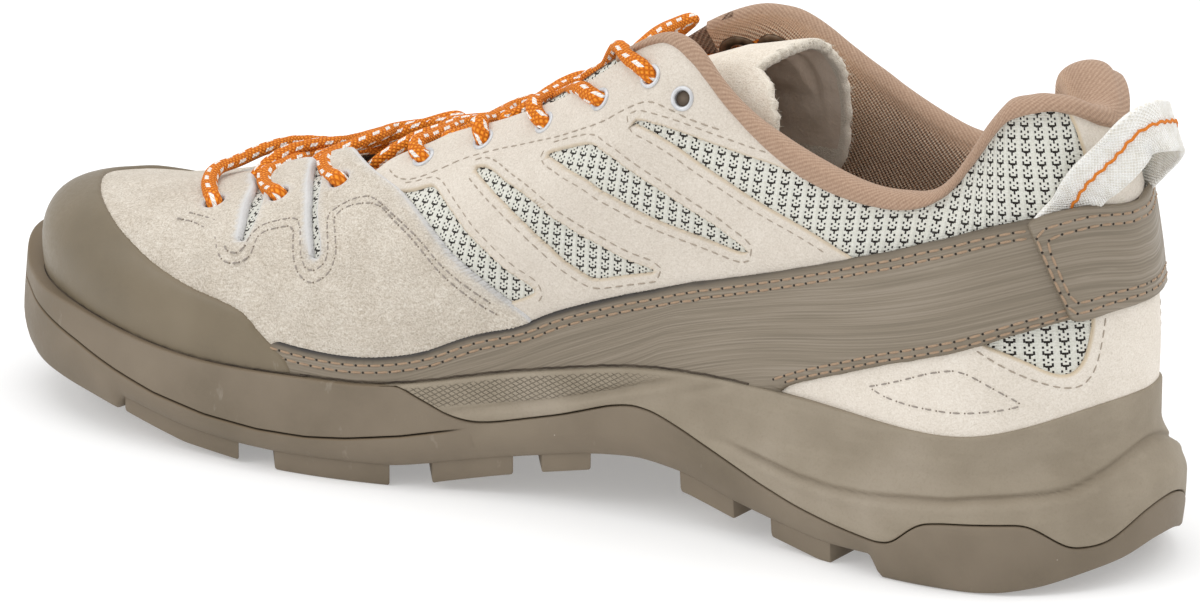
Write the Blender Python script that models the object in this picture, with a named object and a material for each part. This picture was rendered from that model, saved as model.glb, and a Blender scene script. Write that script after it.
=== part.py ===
"""Low-cut approach sneaker, right shoe, standing on its own sole.

Lengths in the tables are millimetres in shoe coordinates: x from the heel to
the toe, y positive on the medial (inner) side, z up from the floor.  Every
solid is worked out from one closed row of stations round the shoe, so the
pieces keep the same small gap between them all the way round.
"""
import bpy
import bmesh
import math
import numpy as np

MM = 0.001
X_MID, Y_MID = 156.89, -0.18      # middle of the finished box, moved to the origin
N = 80                            # stations round the shoe
GAP = 0.3                         # clearance between pieces that touch
SOLE_GAP = 0.45                   # glue line between rubber and foam

WALL = 2.2                        # upper wall
OUTSOLE_T = 3.6                   # outsole thickness under the foam
BOTTOM_IN = 2.6                   # undercut of the outsole's lower edge
WIDEST = 0.30                     # height share at which the sole is widest
LIP = 1.7                         # outsole lip beside the foam
INSOLE_T = 4.0
CAP_T = 2.0                       # toe cap thickness
BAND_T = 1.5                      # side band thickness
TONGUE_T = 3.0
LACE_R = 2.2
LOOP_W, LOOP_T = 11.5, 1.4        # pull loop webbing
EYELET_R, EYELET_HOLE, EYELET_T = 3.6, 2.0, 0.9

# sole edge: plan position of the widest line, inset and height of the rim,
# width of the ledge that the upper leaves on the rim, height of the footbed
SOLE = [
    # name            x      y     rim_in rim_z  ledge  bed_z
    ("heel_back",     5.0,  -1.0,  6.0,  42.5,  1.2,  28.6),
    ("heel_back_m",  12.0,  19.5,  6.0,  41.0,  1.2,  28.6),
    ("heel_m",       36.0,  37.5,  5.0,  35.3,  1.2,  28.6),
    ("rear_m",       75.0,  37.5,  2.5,  36.8,  2.0,  28.4),
    ("waist_m",     120.0,  34.0,  1.0,  36.4,  3.0,  27.4),
    ("arch_m",      140.0,  36.4,  1.0,  33.6,  3.0,  25.4),
    ("instep_m",    160.0,  40.5,  1.0,  29.8,  3.0,  22.6),
    ("ballrear_m",  184.0,  47.5,  1.2,  25.0,  3.0,  19.0),
    ("ball_m",      205.0,  52.0,  1.5,  24.2,  3.2,  17.9),
    ("joint_m",     240.0,  53.5,  2.0,  24.0,  3.4,  17.7),
    ("toe_m",       275.0,  48.5,  2.5,  28.6,  3.5,  22.0),
    ("toetip_m",    299.5,  33.0,  2.8,  31.0,  3.5,  25.6),
    ("toe_tip",     309.5,   9.0,  2.8,  32.0,  3.5,  26.8),
    ("toetip_l",    302.0, -16.0,  2.8,  31.0,  3.5,  25.6),
    ("toe_l",       280.0, -37.0,  2.5,  28.6,  3.5,  22.0),
    ("joint_l",     238.0, -50.0,  2.0,  24.2,  3.4,  17.7),
    ("ball_l",      195.0, -54.0,  1.5,  24.2,  3.2,  17.9),
    ("ballrear_l",  170.0, -52.0,  1.2,  26.5,  3.0,  19.6),
    ("instep_l",    148.0, -48.5,  1.0,  30.2,  3.0,  22.6),
    ("arch_l",      127.0, -45.0,  1.0,  33.6,  3.0,  25.4),
    ("waist_l",     105.0, -41.5,  1.0,  36.0,  3.0,  27.4),
    ("rear_l",       72.0, -39.0,  2.5,  36.8,  2.0,  28.4),
    ("heel_l",       36.0, -37.5,  5.0,  35.3,  1.2,  28.6),
    ("heel_back_l",  12.0, -21.0,  6.0,  41.0,  1.2,  28.6),
]

# upper sections: the top edge, the lean and reach of the section where it
# leaves the rim and where it arrives at the top edge, and the collar padding
UPPER = [
    # name          top_x   top_y  top_z low_a low_r  up_a up_r  pad
    ("heel_back",    20.5,   0.0, 104.5,   3,  22,  14,  24,  5.0),
    ("heel_back_m",  27.5,  16.0, 109.8,   3,  22,  14,  24,  5.0),
    ("heel_m",       42.0,  26.5,  97.5,   3,  20,  12,  20,  4.5),
    ("rear_m",       62.0,  29.0,  87.7,   0,  18,   8,  18,  3.5),
    ("waist_m",      91.0,  27.0,  95.8,  -4,  20,  14,  20,  2.0),
    ("arch_m",      107.0,  23.2, 105.2,  -5,  22,  24,  26,  1.0),
    ("instep_m",    125.0,  19.5, 112.0,  -5,  22,  36,  30,  0.4),
    ("ballrear_m",  160.0,  17.0,  90.0,  -2,  22,  50,  26,  0.0),
    ("ball_m",      192.0,  15.0,  77.2,   2,  22,  60,  26,  0.0),
    ("joint_m",     224.0,  12.0,  66.5,   6,  20,  72,  28,  0.0),
    ("toe_m",       245.0,   9.0,  58.6,   8,  21,  80,  32,  0.0),
    ("toetip_m",    255.0,   5.0,  55.5,   8,  20,  86,  38,  0.0),
    ("toe_tip",     258.0,   0.0,  54.5,   8,  18,  86,  40,  0.0),
    ("toetip_l",    255.0,  -5.0,  55.2,   6,  15,  76,  34,  0.0),
    ("toe_l",       245.0,  -9.0,  58.0,   6,  15,  64,  26,  0.0),
    ("joint_l",     222.0, -12.0,  66.0,   5,  17,  60,  25,  0.0),
    ("ball_l",      188.0, -15.0,  77.5,   2,  20,  55,  26,  0.0),
    ("ballrear_l",  157.0, -17.0,  91.0,  -2,  22,  47,  26,  0.0),
    ("instep_l",    125.0, -19.5, 111.0,  -5,  22,  36,  30,  0.4),
    ("arch_l",      107.0, -23.0, 104.8,  -5,  22,  24,  26,  1.0),
    ("waist_l",      91.0, -27.0,  94.5,  -4,  20,  14,  20,  2.0),
    ("rear_l",       62.0, -29.0,  87.7,   0,  18,   8,  18,  3.5),
    ("heel_l",       42.0, -26.5,  97.5,   3,  20,  12,  20,  4.5),
    ("heel_back_l",  28.5, -16.0, 108.8,   3,  22,  14,  24,  5.0),
]

# underside of the sole along the shoe: tread face and the body above the lugs
TREAD = [
    # x     tread_z  body_z
    (5.0,    16.0,   18.0),
    (10.0,    8.5,   11.5),
    (20.0,    3.0,    7.2),
    (30.0,    0.0,    4.8),
    (75.0,    0.0,    4.6),
    (90.0,    2.8,    7.0),
    (100.0,   4.6,    9.0),
    (112.0,   7.6,   12.6),
    (125.0,  10.0,   14.3),
    (137.0,  10.0,   13.4),
    (150.0,   7.6,   11.2),
    (160.0,   5.6,    9.4),
    (173.0,   2.8,    6.8),
    (183.0,   0.0,    5.0),
    (212.0,   0.0,    4.6),
    (225.0,   0.8,    5.0),
    (240.0,   2.3,    6.4),
    (258.0,   6.4,   10.0),
    (275.0,  10.5,   13.8),
    (290.0,  14.3,   17.1),
    (300.0,  17.0,   19.4),
    (310.0,  19.0,   21.2),
]

# height at which rubber gives way to foam on the side of the sole
PARTING = [
    # x      z
    (5.0,   24.5), (7.0, 21.0), (10.0, 16.0), (12.5, 12.6), (15.5, 11.4),
    (18.5,  12.4), (21.5, 15.5), (24.0, 17.0), (46.0, 16.5), (50.0, 11.7),
    (54.0,   9.6), (61.0,  9.2), (70.0, 10.4), (78.0, 12.2), (90.0, 15.8),
    (99.0,  19.0), (106.7, 22.0), (112.0, 24.0), (120.0, 26.6), (125.6, 27.3),
    (131.0, 26.4), (143.0, 22.6), (151.0, 20.7), (158.7, 18.9), (164.0, 18.2),
    (170.0, 19.2), (175.4, 22.0), (183.0, 24.0),
]
FORE_X = 181.0                    # ahead of this the rubber is carried up to the rim

# tread lugs on each edge, then down the middle; x range and share of the half width
LUGS = [
    # x0    x1   inner outer
    (14.0,  58.0, 0.60, 0.97),
    (68.0,  86.0, 0.58, 0.97),
    (95.0, 111.0, 0.58, 0.97),
    (135.5, 147.0, 0.60, 0.97),
    (155.0, 173.0, 0.58, 0.97),
    (183.0, 211.0, 0.60, 0.97),
    (224.0, 258.0, 0.58, 0.96),
    (264.0, 284.0, 0.52, 0.90),
    (30.0,  46.0, -0.36, 0.36),
    (58.0,  72.0, -0.36, 0.36),
    (160.0, 174.0, -0.38, 0.38),
    (186.0, 200.0, -0.38, 0.38),
    (212.0, 226.0, -0.38, 0.38),
    (238.0, 250.0, -0.36, 0.36),
]
MIDDLE_LUGS_FROM = 8

# toe cap and side band edges by station (0 heel back .. 12 toe tip) and the
# share of the way up the section
CAP_EDGE = [
    # station up
    (8.10, 0.030), (8.39, 0.125), (8.59, 0.219), (8.80, 0.256), (9.11, 0.288),
    (9.48, 0.338), (9.90, 0.419), (10.45, 0.525), (10.98, 0.594), (11.39, 0.619),
    (12.00, 0.630),
]
BAND_TOP = [
    # station up
    (0.00, 0.676), (0.46, 0.688), (1.18, 0.644), (1.41, 0.656), (2.26, 0.744),
    (3.16, 0.681), (3.80, 0.431), (4.33, 0.300), (5.00, 0.244), (5.65, 0.200),
    (6.15, 0.163), (6.43, 0.150), (6.69, 0.125), (7.07, 0.106), (7.51, 0.094),
    (7.87, 0.094), (8.00, 0.100),
]
BAND_LOW = [
    # station up
    (0.00, 0.322), (0.61, 0.325), (1.02, 0.319), (1.20, 0.325), (1.54, 0.338),
    (1.90, 0.350), (2.50, 0.294), (2.86, 0.200), (3.16, 0.088), (3.42, 0.012),
    (8.00, 0.012),
]

# lace holes up the throat by station and share of the section; the first
# three are punched in the suede, the rest carry metal eyelets
HOLES = [
    # station up    metal laced
    (9.73, 0.744, False, True),
    (9.15, 0.800, False, True),
    (8.59, 0.850, False, True),
    (8.03, 0.900, True, True),
    (7.55, 0.925, True, True),
    (7.00, 0.925, True, True),
    (6.53, 0.895, True, True),
    (6.03, 0.885, True, True),
    (5.50, 0.845, True, False),
]

# tongue sections from under the vamp to the free end
TONGUE = [
    # x     crown_z half_w  drop
    (260.0,  50.6,   7.0,   1.0),
    (245.0,  53.6,  12.0,   2.5),
    (224.0,  60.4,  16.0,   5.0),
    (192.0,  71.6,  20.0,   9.0),
    (160.0,  84.6,  22.0,  14.0),
    (136.0,  98.6,  21.5,  17.0),
    (118.0, 106.6,  19.5,  20.0),
    (101.0, 109.4,  18.0,  24.0),
]

# pull loop: middle line of the webbing from the medial side round the back
LOOP = [
    # x      y      z
    (24.0,  22.6,  89.2),
    (19.4,  19.0,  92.8),
    (13.6,  13.2,  97.4),
    (8.4,    6.6, 102.2),
    (6.0,    0.0, 104.2),
    (8.4,   -6.6, 102.2),
    (13.6, -13.2,  97.4),
    (19.4, -19.2,  92.8),
    (24.0, -23.0,  89.2),
]
LOOP_AXIS_X = 45.0                # the webbing faces away from this upright line
LOOP_LEAN = 0.30


# ------------------------------------------------------------------ helpers
def column(table, k):
    return np.array([row[k] for row in table], float)


def chart(table, k, x):
    return np.interp(x, column(table, 0), column(table, k))


class Ring:
    """Closed cubic through one value per station row."""

    def __init__(self, knots, values):
        n = len(values)
        h = np.diff(knots)
        y = np.append(values, values[0])
        a = np.zeros((n, n))
        b = np.zeros(n)
        for i in range(n):
            before, after = h[i - 1], h[i]
            a[i, (i - 1) % n] += before
            a[i, i] += 2 * (before + after)
            a[i, (i + 1) % n] += after
            b[i] = 6 * ((y[i + 1] - y[i]) / after - (y[i] - y[(i - 1) % n]) / before)
        m = np.linalg.solve(a, b)
        self.k, self.h, self.y, self.m = knots, h, y, np.append(m, m[0])

    def __call__(self, t):
        t = np.mod(np.asarray(t, float), self.k[-1])
        i = np.clip(np.searchsorted(self.k, t, side="right") - 1, 0, len(self.h) - 1)
        h = self.h[i]
        a, c = (self.k[i + 1] - t) / h, (t - self.k[i]) / h
        return (a * self.y[i] + c * self.y[i + 1]
                + ((a ** 3 - a) * self.m[i] + (c ** 3 - c) * self.m[i + 1]) * h * h / 6)


ROWS = len(SOLE)
_x, _y = column(SOLE, 1), column(SOLE, 2)
KNOTS = np.concatenate([[0.0], np.cumsum(np.hypot(np.roll(_x, -1) - _x, np.roll(_y, -1) - _y) ** 0.5)])
SX, SY, RIM_IN, RIM_Z, LEDGE, BED_Z = (Ring(KNOTS, column(SOLE, k)) for k in range(1, 7))
TX, TY, TZ, LOW_A, LOW_R, UP_A, UP_R, PAD = (Ring(KNOTS, column(UPPER, k)) for k in range(1, 9))
TOE_ROW = [row[0] for row in SOLE].index("toe_tip")


def along(station):
    """Spline parameter of a station; stations past the toe run back down the lateral side."""
    return np.interp(np.mod(station, ROWS), np.arange(ROWS + 1), KNOTS)


def edge(t):
    """Plan position of the sole's widest line and the outward direction there."""
    e = 1e-3
    p = np.stack([SX(t), SY(t)], -1)
    dx, dy = SX(t + e) - SX(t - e), SY(t + e) - SY(t - e)
    length = np.hypot(dx, dy)
    return p, np.stack([-dy / length, dx / length], -1)


def skin(t, v):
    """Outer skin of the upper: v from 0 at the rim to 1 at the top edge, -1 at the footbed."""
    t, v = np.broadcast_arrays(np.asarray(t, float), np.asarray(v, float))
    p, n = edge(t)
    inset = RIM_IN(t) + LEDGE(t)
    up = np.array([0.0, 0.0, 1.0])
    out = np.stack([n[..., 0], n[..., 1], np.zeros_like(t)], -1)
    low = np.stack([p[..., 0] - inset * n[..., 0], p[..., 1] - inset * n[..., 1], RIM_Z(t)], -1)
    top = np.stack([TX(t), TY(t), TZ(t)], -1)
    a, b = np.radians(LOW_A(t))[..., None], np.radians(UP_A(t))[..., None]
    c1 = low + LOW_R(t)[..., None] * (np.sin(a) * out + np.cos(a) * up)
    c2 = top + UP_R(t)[..., None] * (np.sin(b) * out - np.cos(b) * up)
    w = np.clip(v, 0, 1)[..., None]
    s = (1 - w) ** 3 * low + 3 * (1 - w) ** 2 * w * c1 + 3 * (1 - w) * w * w * c2 + w ** 3 * top
    drop = (RIM_Z(t) - BED_Z(t) - GAP)[..., None]
    return s + np.minimum(v, 0)[..., None] * drop * up


def skin_normal(t, v):
    e, d = 2e-2, 4e-3
    v = np.broadcast_to(np.asarray(v, float), np.broadcast(t, v).shape)
    du = skin(t + e, v) - skin(t - e, v)
    dv = skin(t, np.minimum(np.maximum(v, 0) + d, 1.0)) - skin(t, np.maximum(np.minimum(v, 1.0) - d, 0.0))
    n = np.cross(du, dv)
    n /= np.linalg.norm(n, axis=-1, keepdims=True)
    out = edge(np.asarray(t, float))[1]
    flat = np.stack([out[..., 0], out[..., 1], 0 * out[..., 0]], -1)
    flat = np.broadcast_to(flat, n.shape)
    n = np.where((n * flat).sum(-1, keepdims=True) + n[..., 2:3] < 0, -n, n)
    return np.where((v < 0)[..., None], flat, n)


def raised(t, v, height):
    return skin(t, v) + height * skin_normal(t, v)


def wall_thickness(t, v):
    rise = np.clip((np.asarray(v) - 0.50) / 0.36, 0, 1)
    return WALL + np.maximum(PAD(t), 0) * rise * rise * (3 - 2 * rise)


def stations(n):
    """Half of the stations run from heel to toe, half back; closer together where the edge turns."""
    t = np.linspace(0, KNOTS[-1], 6001)
    p, d = edge(t)
    step = np.hypot(*np.diff(p, axis=0).T)
    turn = np.abs(np.arcsin(np.clip(d[:-1, 0] * d[1:, 1] - d[:-1, 1] * d[1:, 0], -1, 1)))
    s = np.concatenate([[0], np.cumsum(step + 16.0 * turn)])
    s_toe = np.interp(KNOTS[TOE_ROW], t, s)
    there = np.linspace(0, s_toe, n // 2 + 1)[:-1]
    back = np.linspace(s_toe, s[-1], n // 2 + 1)[:-1]
    return np.interp(np.concatenate([there, back]), s, t)


T = stations(N)
EDGE, OUT = edge(T)
RIM, RIMZ, LED, BED = RIM_IN(T), RIM_Z(T), LEDGE(T), BED_Z(T)
BODY_Z = chart(TREAD, 2, EDGE[:, 0])
WIDE_Z = BODY_Z + WIDEST * (RIMZ - BODY_Z)
HEEL = np.clip((105.0 - EDGE[:, 0]) / 45.0, 0, 1)
FORE = EDGE[:, 0] >= FORE_X
TURN = FORE & ~(np.roll(FORE, 1) & np.roll(FORE, -1))     # one station on each side
PART_Z = np.where(FORE & ~TURN, RIMZ, np.minimum(chart(PARTING, 1, EDGE[:, 0]), RIMZ - 0.9))


FLOOR_Z = np.minimum(np.minimum(BODY_Z + OUTSOLE_T, PART_Z - 0.6), BED - 2.0)


def smooth(s):
    s = np.clip(s, 0, 1)
    return s * s * (3 - 2 * s)


def wall_inset(z):
    low = np.clip((WIDE_Z - z) / (WIDE_Z - BODY_Z), 0, 1)
    high = np.clip((z - WIDE_Z) / (RIMZ - WIDE_Z), 0, 1)
    return BOTTOM_IN * low ** 2 + RIM * (HEEL * smooth(high / 0.6) + (1 - HEEL) * high ** 1.2)


def loop_at(inset, z):
    z = np.broadcast_to(np.asarray(z, float), (N,))
    return np.stack([EDGE[:, 0] - inset * OUT[:, 0], EDGE[:, 1] - inset * OUT[:, 1], z], -1)


# ------------------------------------------------------------------ mesh building
def finish(name, verts, faces, colour, roughness, metallic=0.0):
    mesh = bpy.data.meshes.new(name)
    shifted = (np.asarray(verts) - np.array([X_MID, Y_MID, 0.0])) * MM
    mesh.from_pydata([tuple(float(c) for c in v) for v in shifted], [], faces)
    bm = bmesh.new()
    bm.from_mesh(mesh)
    bmesh.ops.remove_doubles(bm, verts=bm.verts, dist=1e-7)
    bmesh.ops.triangulate(bm, faces=bm.faces)
    bmesh.ops.recalc_face_normals(bm, faces=bm.faces)
    if bm.calc_volume(signed=True) < 0:
        bmesh.ops.reverse_faces(bm, faces=bm.faces)
    bm.to_mesh(mesh)
    bm.free()
    obj = bpy.data.objects.new(name, mesh)
    bpy.context.scene.collection.objects.link(obj)
    mat = bpy.data.materials.new(name)
    mat.use_nodes = True
    shader = mat.node_tree.nodes["Principled BSDF"]
    shader.inputs["Base Color"].default_value = (*colour, 1.0)
    shader.inputs["Roughness"].default_value = roughness
    shader.inputs["Metallic"].default_value = metallic
    mesh.materials.append(mat)
    return obj


def bands(faces, rings):
    """Quads between consecutive closed rings of vertex numbers."""
    for low, high in zip(rings[:-1], rings[1:]):
        n = len(low)
        for i in range(n):
            j = (i + 1) % n
            faces.append((low[i], low[j], high[j], high[i]))


def ladder(verts, faces, ring, across=4):
    """Fill a ring with rungs from each medial station to its lateral partner."""
    n = len(ring)
    rows = []
    for i in range(1, n // 2):
        a, b = np.array(verts[ring[i]]), np.array(verts[ring[n - i]])
        row = [ring[i]]
        for k in range(1, across):
            verts.append(a + (b - a) * k / across)
            row.append(len(verts) - 1)
        row.append(ring[n - i])
        rows.append(row)
    for r, s in zip(rows[:-1], rows[1:]):
        for k in range(across):
            faces.append((r[k], r[k + 1], s[k + 1], s[k]))
    for k in range(across):
        faces.append((ring[0], rows[0][k], rows[0][k + 1]))
        faces.append((ring[n // 2], rows[-1][k + 1], rows[-1][k]))


def cup(name, rings, colour, roughness, across=4):
    """Closed solid whose rings run from the rim of one filled face to the other."""
    verts, faces, numbers = [], [], []
    for ring in rings:
        numbers.append(list(range(len(verts), len(verts) + len(ring))))
        verts.extend(np.asarray(ring))
    bands(faces, numbers)
    ladder(verts, faces, numbers[0], across)
    ladder(verts, faces, numbers[-1], across)
    return finish(name, verts, faces, colour, roughness)


def plate(name, grid_low, grid_high, colour, roughness, metallic=0.0):
    """Closed sheet between two matching grids of points."""
    a, b = grid_low.shape[:2]
    verts = list(grid_low.reshape(-1, 3)) + list(grid_high.reshape(-1, 3))
    faces = []

    def at(layer, i, j):
        return layer * a * b + i * b + j

    for layer in (0, 1):
        for i in range(a - 1):
            for j in range(b - 1):
                faces.append((at(layer, i, j), at(layer, i + 1, j), at(layer, i + 1, j + 1), at(layer, i, j + 1)))
    for i in range(a - 1):
        for j in (0, b - 1):
            faces.append((at(0, i, j), at(0, i + 1, j), at(1, i + 1, j), at(1, i, j)))
    for j in range(b - 1):
        for i in (0, a - 1):
            faces.append((at(0, i, j), at(0, i, j + 1), at(1, i, j + 1), at(1, i, j)))
    return finish(name, verts, faces, colour, roughness, metallic)


def tube(name, path, radius, colour, roughness, sides=8):
    """Closed tube with mitred corners."""
    path = np.asarray(path, float)
    tangents = np.gradient(path, axis=0)
    tangents /= np.linalg.norm(tangents, axis=1, keepdims=True)
    side = np.cross(tangents[0], (0.0, 0.0, 1.0))
    verts, faces, rings = [], [], []
    for i, (p, t) in enumerate(zip(path, tangents)):
        side = side - t * np.dot(side, t)
        side /= np.linalg.norm(side)
        other = np.cross(t, side)
        ring = []
        for k in range(sides):
            a = 2 * math.pi * (k + 0.5) / sides
            verts.append(p + radius * (math.cos(a) * side + math.sin(a) * other))
            ring.append(len(verts) - 1)
        rings.append(ring)
    bands(faces, rings)
    faces.append(tuple(rings[0]))
    faces.append(tuple(reversed(rings[-1])))
    return finish(name, verts, faces, colour, roughness)


# ------------------------------------------------------------------ colours from the photograph (linear)
RUBBER = (0.200, 0.166, 0.122)
FOAM = (0.260, 0.224, 0.170)
SUEDE = (0.610, 0.530, 0.410)
TAUPE = (0.215, 0.180, 0.135)
LINING = (0.300, 0.215, 0.155)
CORD = (0.560, 0.140, 0.020)
WEBBING = (0.830, 0.820, 0.780)
METAL = (0.560, 0.550, 0.530)


def make_outsole():
    floor = FLOOR_Z
    lip_in = wall_inset(PART_Z)
    fore = FORE & ~TURN
    step_in = np.where(fore, RIM + LIP, lip_in + LIP + 1.6)
    step_z = np.where(fore, RIMZ - 5.3, 0.5 * (PART_Z + floor))
    rings = [loop_at(BOTTOM_IN + 0.0 * T, BODY_Z),
             loop_at(wall_inset(0.5 * (BODY_Z + np.minimum(WIDE_Z, PART_Z))), 0.5 * (BODY_Z + np.minimum(WIDE_Z, PART_Z))),
             loop_at(wall_inset(np.minimum(WIDE_Z, PART_Z - 0.5)), np.minimum(WIDE_Z, PART_Z - 0.5)),
             loop_at(lip_in, PART_Z),
             loop_at(lip_in + LIP, PART_Z),
             loop_at(step_in, step_z),
             loop_at(lip_in + 6.2, floor)]
    sole = cup("outsole", rings, RUBBER, 0.62, across=2)
    half = N // 2
    med = EDGE[1:half], OUT[1:half]
    lat = EDGE[:half:-1], OUT[:half:-1]

    def side_y(x, share):
        rim = med if share >= 0 else lat
        pts = rim[0] - (BOTTOM_IN + 0.4) * rim[1]
        order = np.argsort(pts[:, 0])
        return np.interp(x, pts[order, 0], pts[order, 1]) * abs(share)

    lugs = []
    for k, (x0, x1, inner, outer) in enumerate(LUGS):
        for sign in ((1,) if k >= MIDDLE_LUGS_FROM else (1, -1)):
            steps = max(2, int(round((x1 - x0) / 9.0)) + 1)
            xs = np.linspace(x0, x1, steps)
            verts, faces = [], []
            for x in xs:
                tread, body = chart(TREAD, 1, x), chart(TREAD, 2, x)
                for share in (sign * inner, sign * outer):
                    y = side_y(x, share)
                    verts.append((x, y, tread))
                    verts.append((x, y, body + 1.2))
            for i in range(steps - 1):
                a, b = 4 * i, 4 * i + 4
                for p, q in ((0, 2), (2, 3), (3, 1), (1, 0)):
                    faces.append((a + p, a + q, b + q, b + p))
            faces.append((0, 2, 3, 1))
            e = 4 * (steps - 1)
            faces.append((e, e + 2, e + 3, e + 1))
            lugs.append(finish("lug_form_%d_%d" % (k, sign + 1), verts, faces, RUBBER, 0.62))
    forms = bpy.data.collections.new("lug_forms")
    bpy.context.scene.collection.children.link(forms)
    for lug in lugs:
        forms.objects.link(lug)
        bpy.context.scene.collection.objects.unlink(lug)
        lug.hide_render = True
        lug.display_type = "WIRE"
    join = sole.modifiers.new("lugs", "BOOLEAN")
    join.operation = "UNION"
    join.solver = "EXACT"
    join.operand_type = "COLLECTION"
    join.collection = forms
    return sole


def make_midsole():
    floor = FLOOR_Z
    lip_in = wall_inset(PART_Z)
    fore = FORE & ~TURN
    inside = RIM + LIP + GAP + 0.05
    step_in = np.where(fore, inside, lip_in + LIP + 1.6 + SOLE_GAP)
    step_z = np.where(fore, RIMZ - 4.9, 0.5 * (PART_Z + floor) + SOLE_GAP)
    shoulder_in = np.where(FORE, inside + 0.05, lip_in + LIP + 0.2)
    shoulder_z = np.where(fore, RIMZ - 3.4, np.where(TURN, PART_Z - 0.2, PART_Z + SOLE_GAP))
    out_z = np.where(fore, RIMZ - 2.2, PART_Z + SOLE_GAP)
    rings = [loop_at(lip_in + 6.2 + SOLE_GAP, floor + SOLE_GAP),
             loop_at(step_in, step_z),
             loop_at(shoulder_in, shoulder_z),
             loop_at(np.where(FORE, inside, wall_inset(out_z)), out_z)]
    for share in (0.33, 0.66, 1.0):
        z = out_z + share * (RIMZ - out_z)
        rings.append(loop_at(np.where(FORE, inside, wall_inset(z)), z))
    rings.append(loop_at(RIM + LED - GAP, RIMZ))
    rings.append(loop_at(RIM + LED - GAP, BED))
    return cup("midsole", rings, FOAM, 0.7, across=2)


def make_insole():
    inset = RIM + LED + WALL + 0.45
    rings = [loop_at(inset, BED + GAP), loop_at(inset, BED + GAP + 0.7 * INSOLE_T),
             loop_at(inset + 1.2, BED + GAP + INSOLE_T)]
    return cup("insole", rings, LINING, 0.9, across=2)


def make_upper():
    outer_v = (-1.0, 0.0, 0.15, 0.30, 0.45, 0.60, 0.73, 0.85, 0.94, 1.0)
    inner_v = (1.0, 0.88, 0.74, 0.58, 0.40, 0.20, 0.0, -1.0)
    rings = [skin(T, np.full(N, v)) for v in outer_v]
    inner = [raised(T, np.full(N, v), -wall_thickness(T, np.full(N, v))[:, None]) for v in inner_v]
    rise = skin(T, np.full(N, 1.0)) - skin(T, np.full(N, 0.97))
    rise /= np.linalg.norm(rise, axis=1, keepdims=True)
    rings.append(0.5 * (rings[-1] + inner[0]) + 0.22 * wall_thickness(T, np.full(N, 1.0))[:, None] * rise)
    rings += inner
    verts, faces, numbers = [], [], []
    for ring in rings:
        numbers.append(list(range(len(verts), len(verts) + N)))
        verts.extend(ring)
    bands(faces, numbers + numbers[:1])
    return finish("upper", verts, faces, SUEDE, 0.9)


def patch(name, lo_station, hi_station, low, high, base, thick, colour, roughness, along_n, up_n):
    s = np.linspace(lo_station, hi_station, along_n)
    t = along(s)
    v0, v1 = low(s), high(s)
    share = np.linspace(0, 1, up_n)
    v = v0[:, None] + (v1 - v0)[:, None] * share[None, :]
    tt = np.broadcast_to(t[:, None], v.shape)
    return plate(name, raised(tt, v, base), raised(tt, v, base + thick), colour, roughness)


def mirrored(station):
    """Stations counted from the heel back on either side."""
    s = np.mod(station, ROWS)
    return np.minimum(s, ROWS - s)


def make_toe_cap():
    start = CAP_EDGE[0][0]
    return patch("toe_cap", start, ROWS - start,
                 lambda s: np.full_like(s, 0.012),
                 lambda s: chart(CAP_EDGE, 1, mirrored(s)),
                 GAP, CAP_T, RUBBER, 0.55, 37, 6)


def make_side_band():
    end = BAND_TOP[-1][0]
    return patch("side_band", -end, end,
                 lambda s: chart(BAND_LOW, 1, mirrored(s)),
                 lambda s: chart(BAND_TOP, 1, mirrored(s)),
                 GAP, BAND_T, TAUPE, 0.6, 69, 3)


def make_tongue():
    x = np.concatenate([np.linspace(260, 136, 11), np.linspace(127, 101, 4)])
    rows = TONGUE[::-1]
    crown, half, drop = (np.interp(x, [r[0] for r in rows], [r[k] for r in rows]) for k in (1, 2, 3))
    q = np.linspace(-1, 1, 11)
    y = half[:, None] * np.sign(q) * (1 - (1 - np.abs(q)) ** 1.5)
    z = crown[:, None] - drop[:, None] * np.abs(q) ** 2.6
    top = np.stack([np.broadcast_to(x[:, None], y.shape), y, z], -1)
    n = np.cross(np.gradient(top, axis=0), np.gradient(top, axis=1))
    n /= np.linalg.norm(n, axis=-1, keepdims=True)
    n = np.where(n[:, 5:6, 2:3] < 0, -n, n)
    return plate("tongue", top - TONGUE_T * n, top, SUEDE, 0.9)


def make_pull_loop():
    p = np.array(LOOP)
    fine = np.linspace(0, len(p) - 1, 25)
    k = np.arange(len(p))
    path = np.stack([np.interp(fine, k, p[:, c]) for c in range(3)], -1)
    for _ in range(2):
        path[1:-1] = 0.25 * path[:-2] + 0.5 * path[1:-1] + 0.25 * path[2:]
    t = np.gradient(path, axis=0)
    t /= np.linalg.norm(t, axis=1, keepdims=True)
    face = path - np.array([LOOP_AXIS_X, 0, 0])
    face[:, 2] = 0
    face /= np.linalg.norm(face, axis=1, keepdims=True)
    face[:, 2] = LOOP_LEAN
    face -= t * (face * t).sum(1, keepdims=True)
    face /= np.linalg.norm(face, axis=1, keepdims=True)
    width = np.cross(t, face)
    grid = path[:, None, :] + width[:, None, :] * np.array([-0.5, 0.0, 0.5])[None, :, None] * LOOP_W
    return plate("pull_loop", grid - 0.5 * LOOP_T * face[:, None, :], grid + 0.5 * LOOP_T * face[:, None, :], WEBBING, 0.85)


def lace_corner(station):
    t = np.array([along(station)])
    p = skin(t, np.array([1.0]))[0] + 3.4 * skin_normal(t, np.array([1.0]))[0]
    return p * np.array([1.0, 0.93, 1.0])


def zigzag(first_medial):
    corners = []
    laced = [row for row in HOLES if row[3]]
    for k, row in enumerate(laced):
        medial = (k % 2 == 0) == first_medial
        corners.append(lace_corner(row[0] if medial else ROWS - row[0]))
    path = [corners[0]]
    for a, b, c in zip(corners[:-2], corners[1:-1], corners[2:]):
        path.append(b + (a - b) * 0.14)
        path.append(0.5 * b + 0.25 * (b + (a - b) * 0.14) + 0.25 * (b + (c - b) * 0.14))
        path.append(b + (c - b) * 0.14)
    path.append(corners[-1])
    return path


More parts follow.
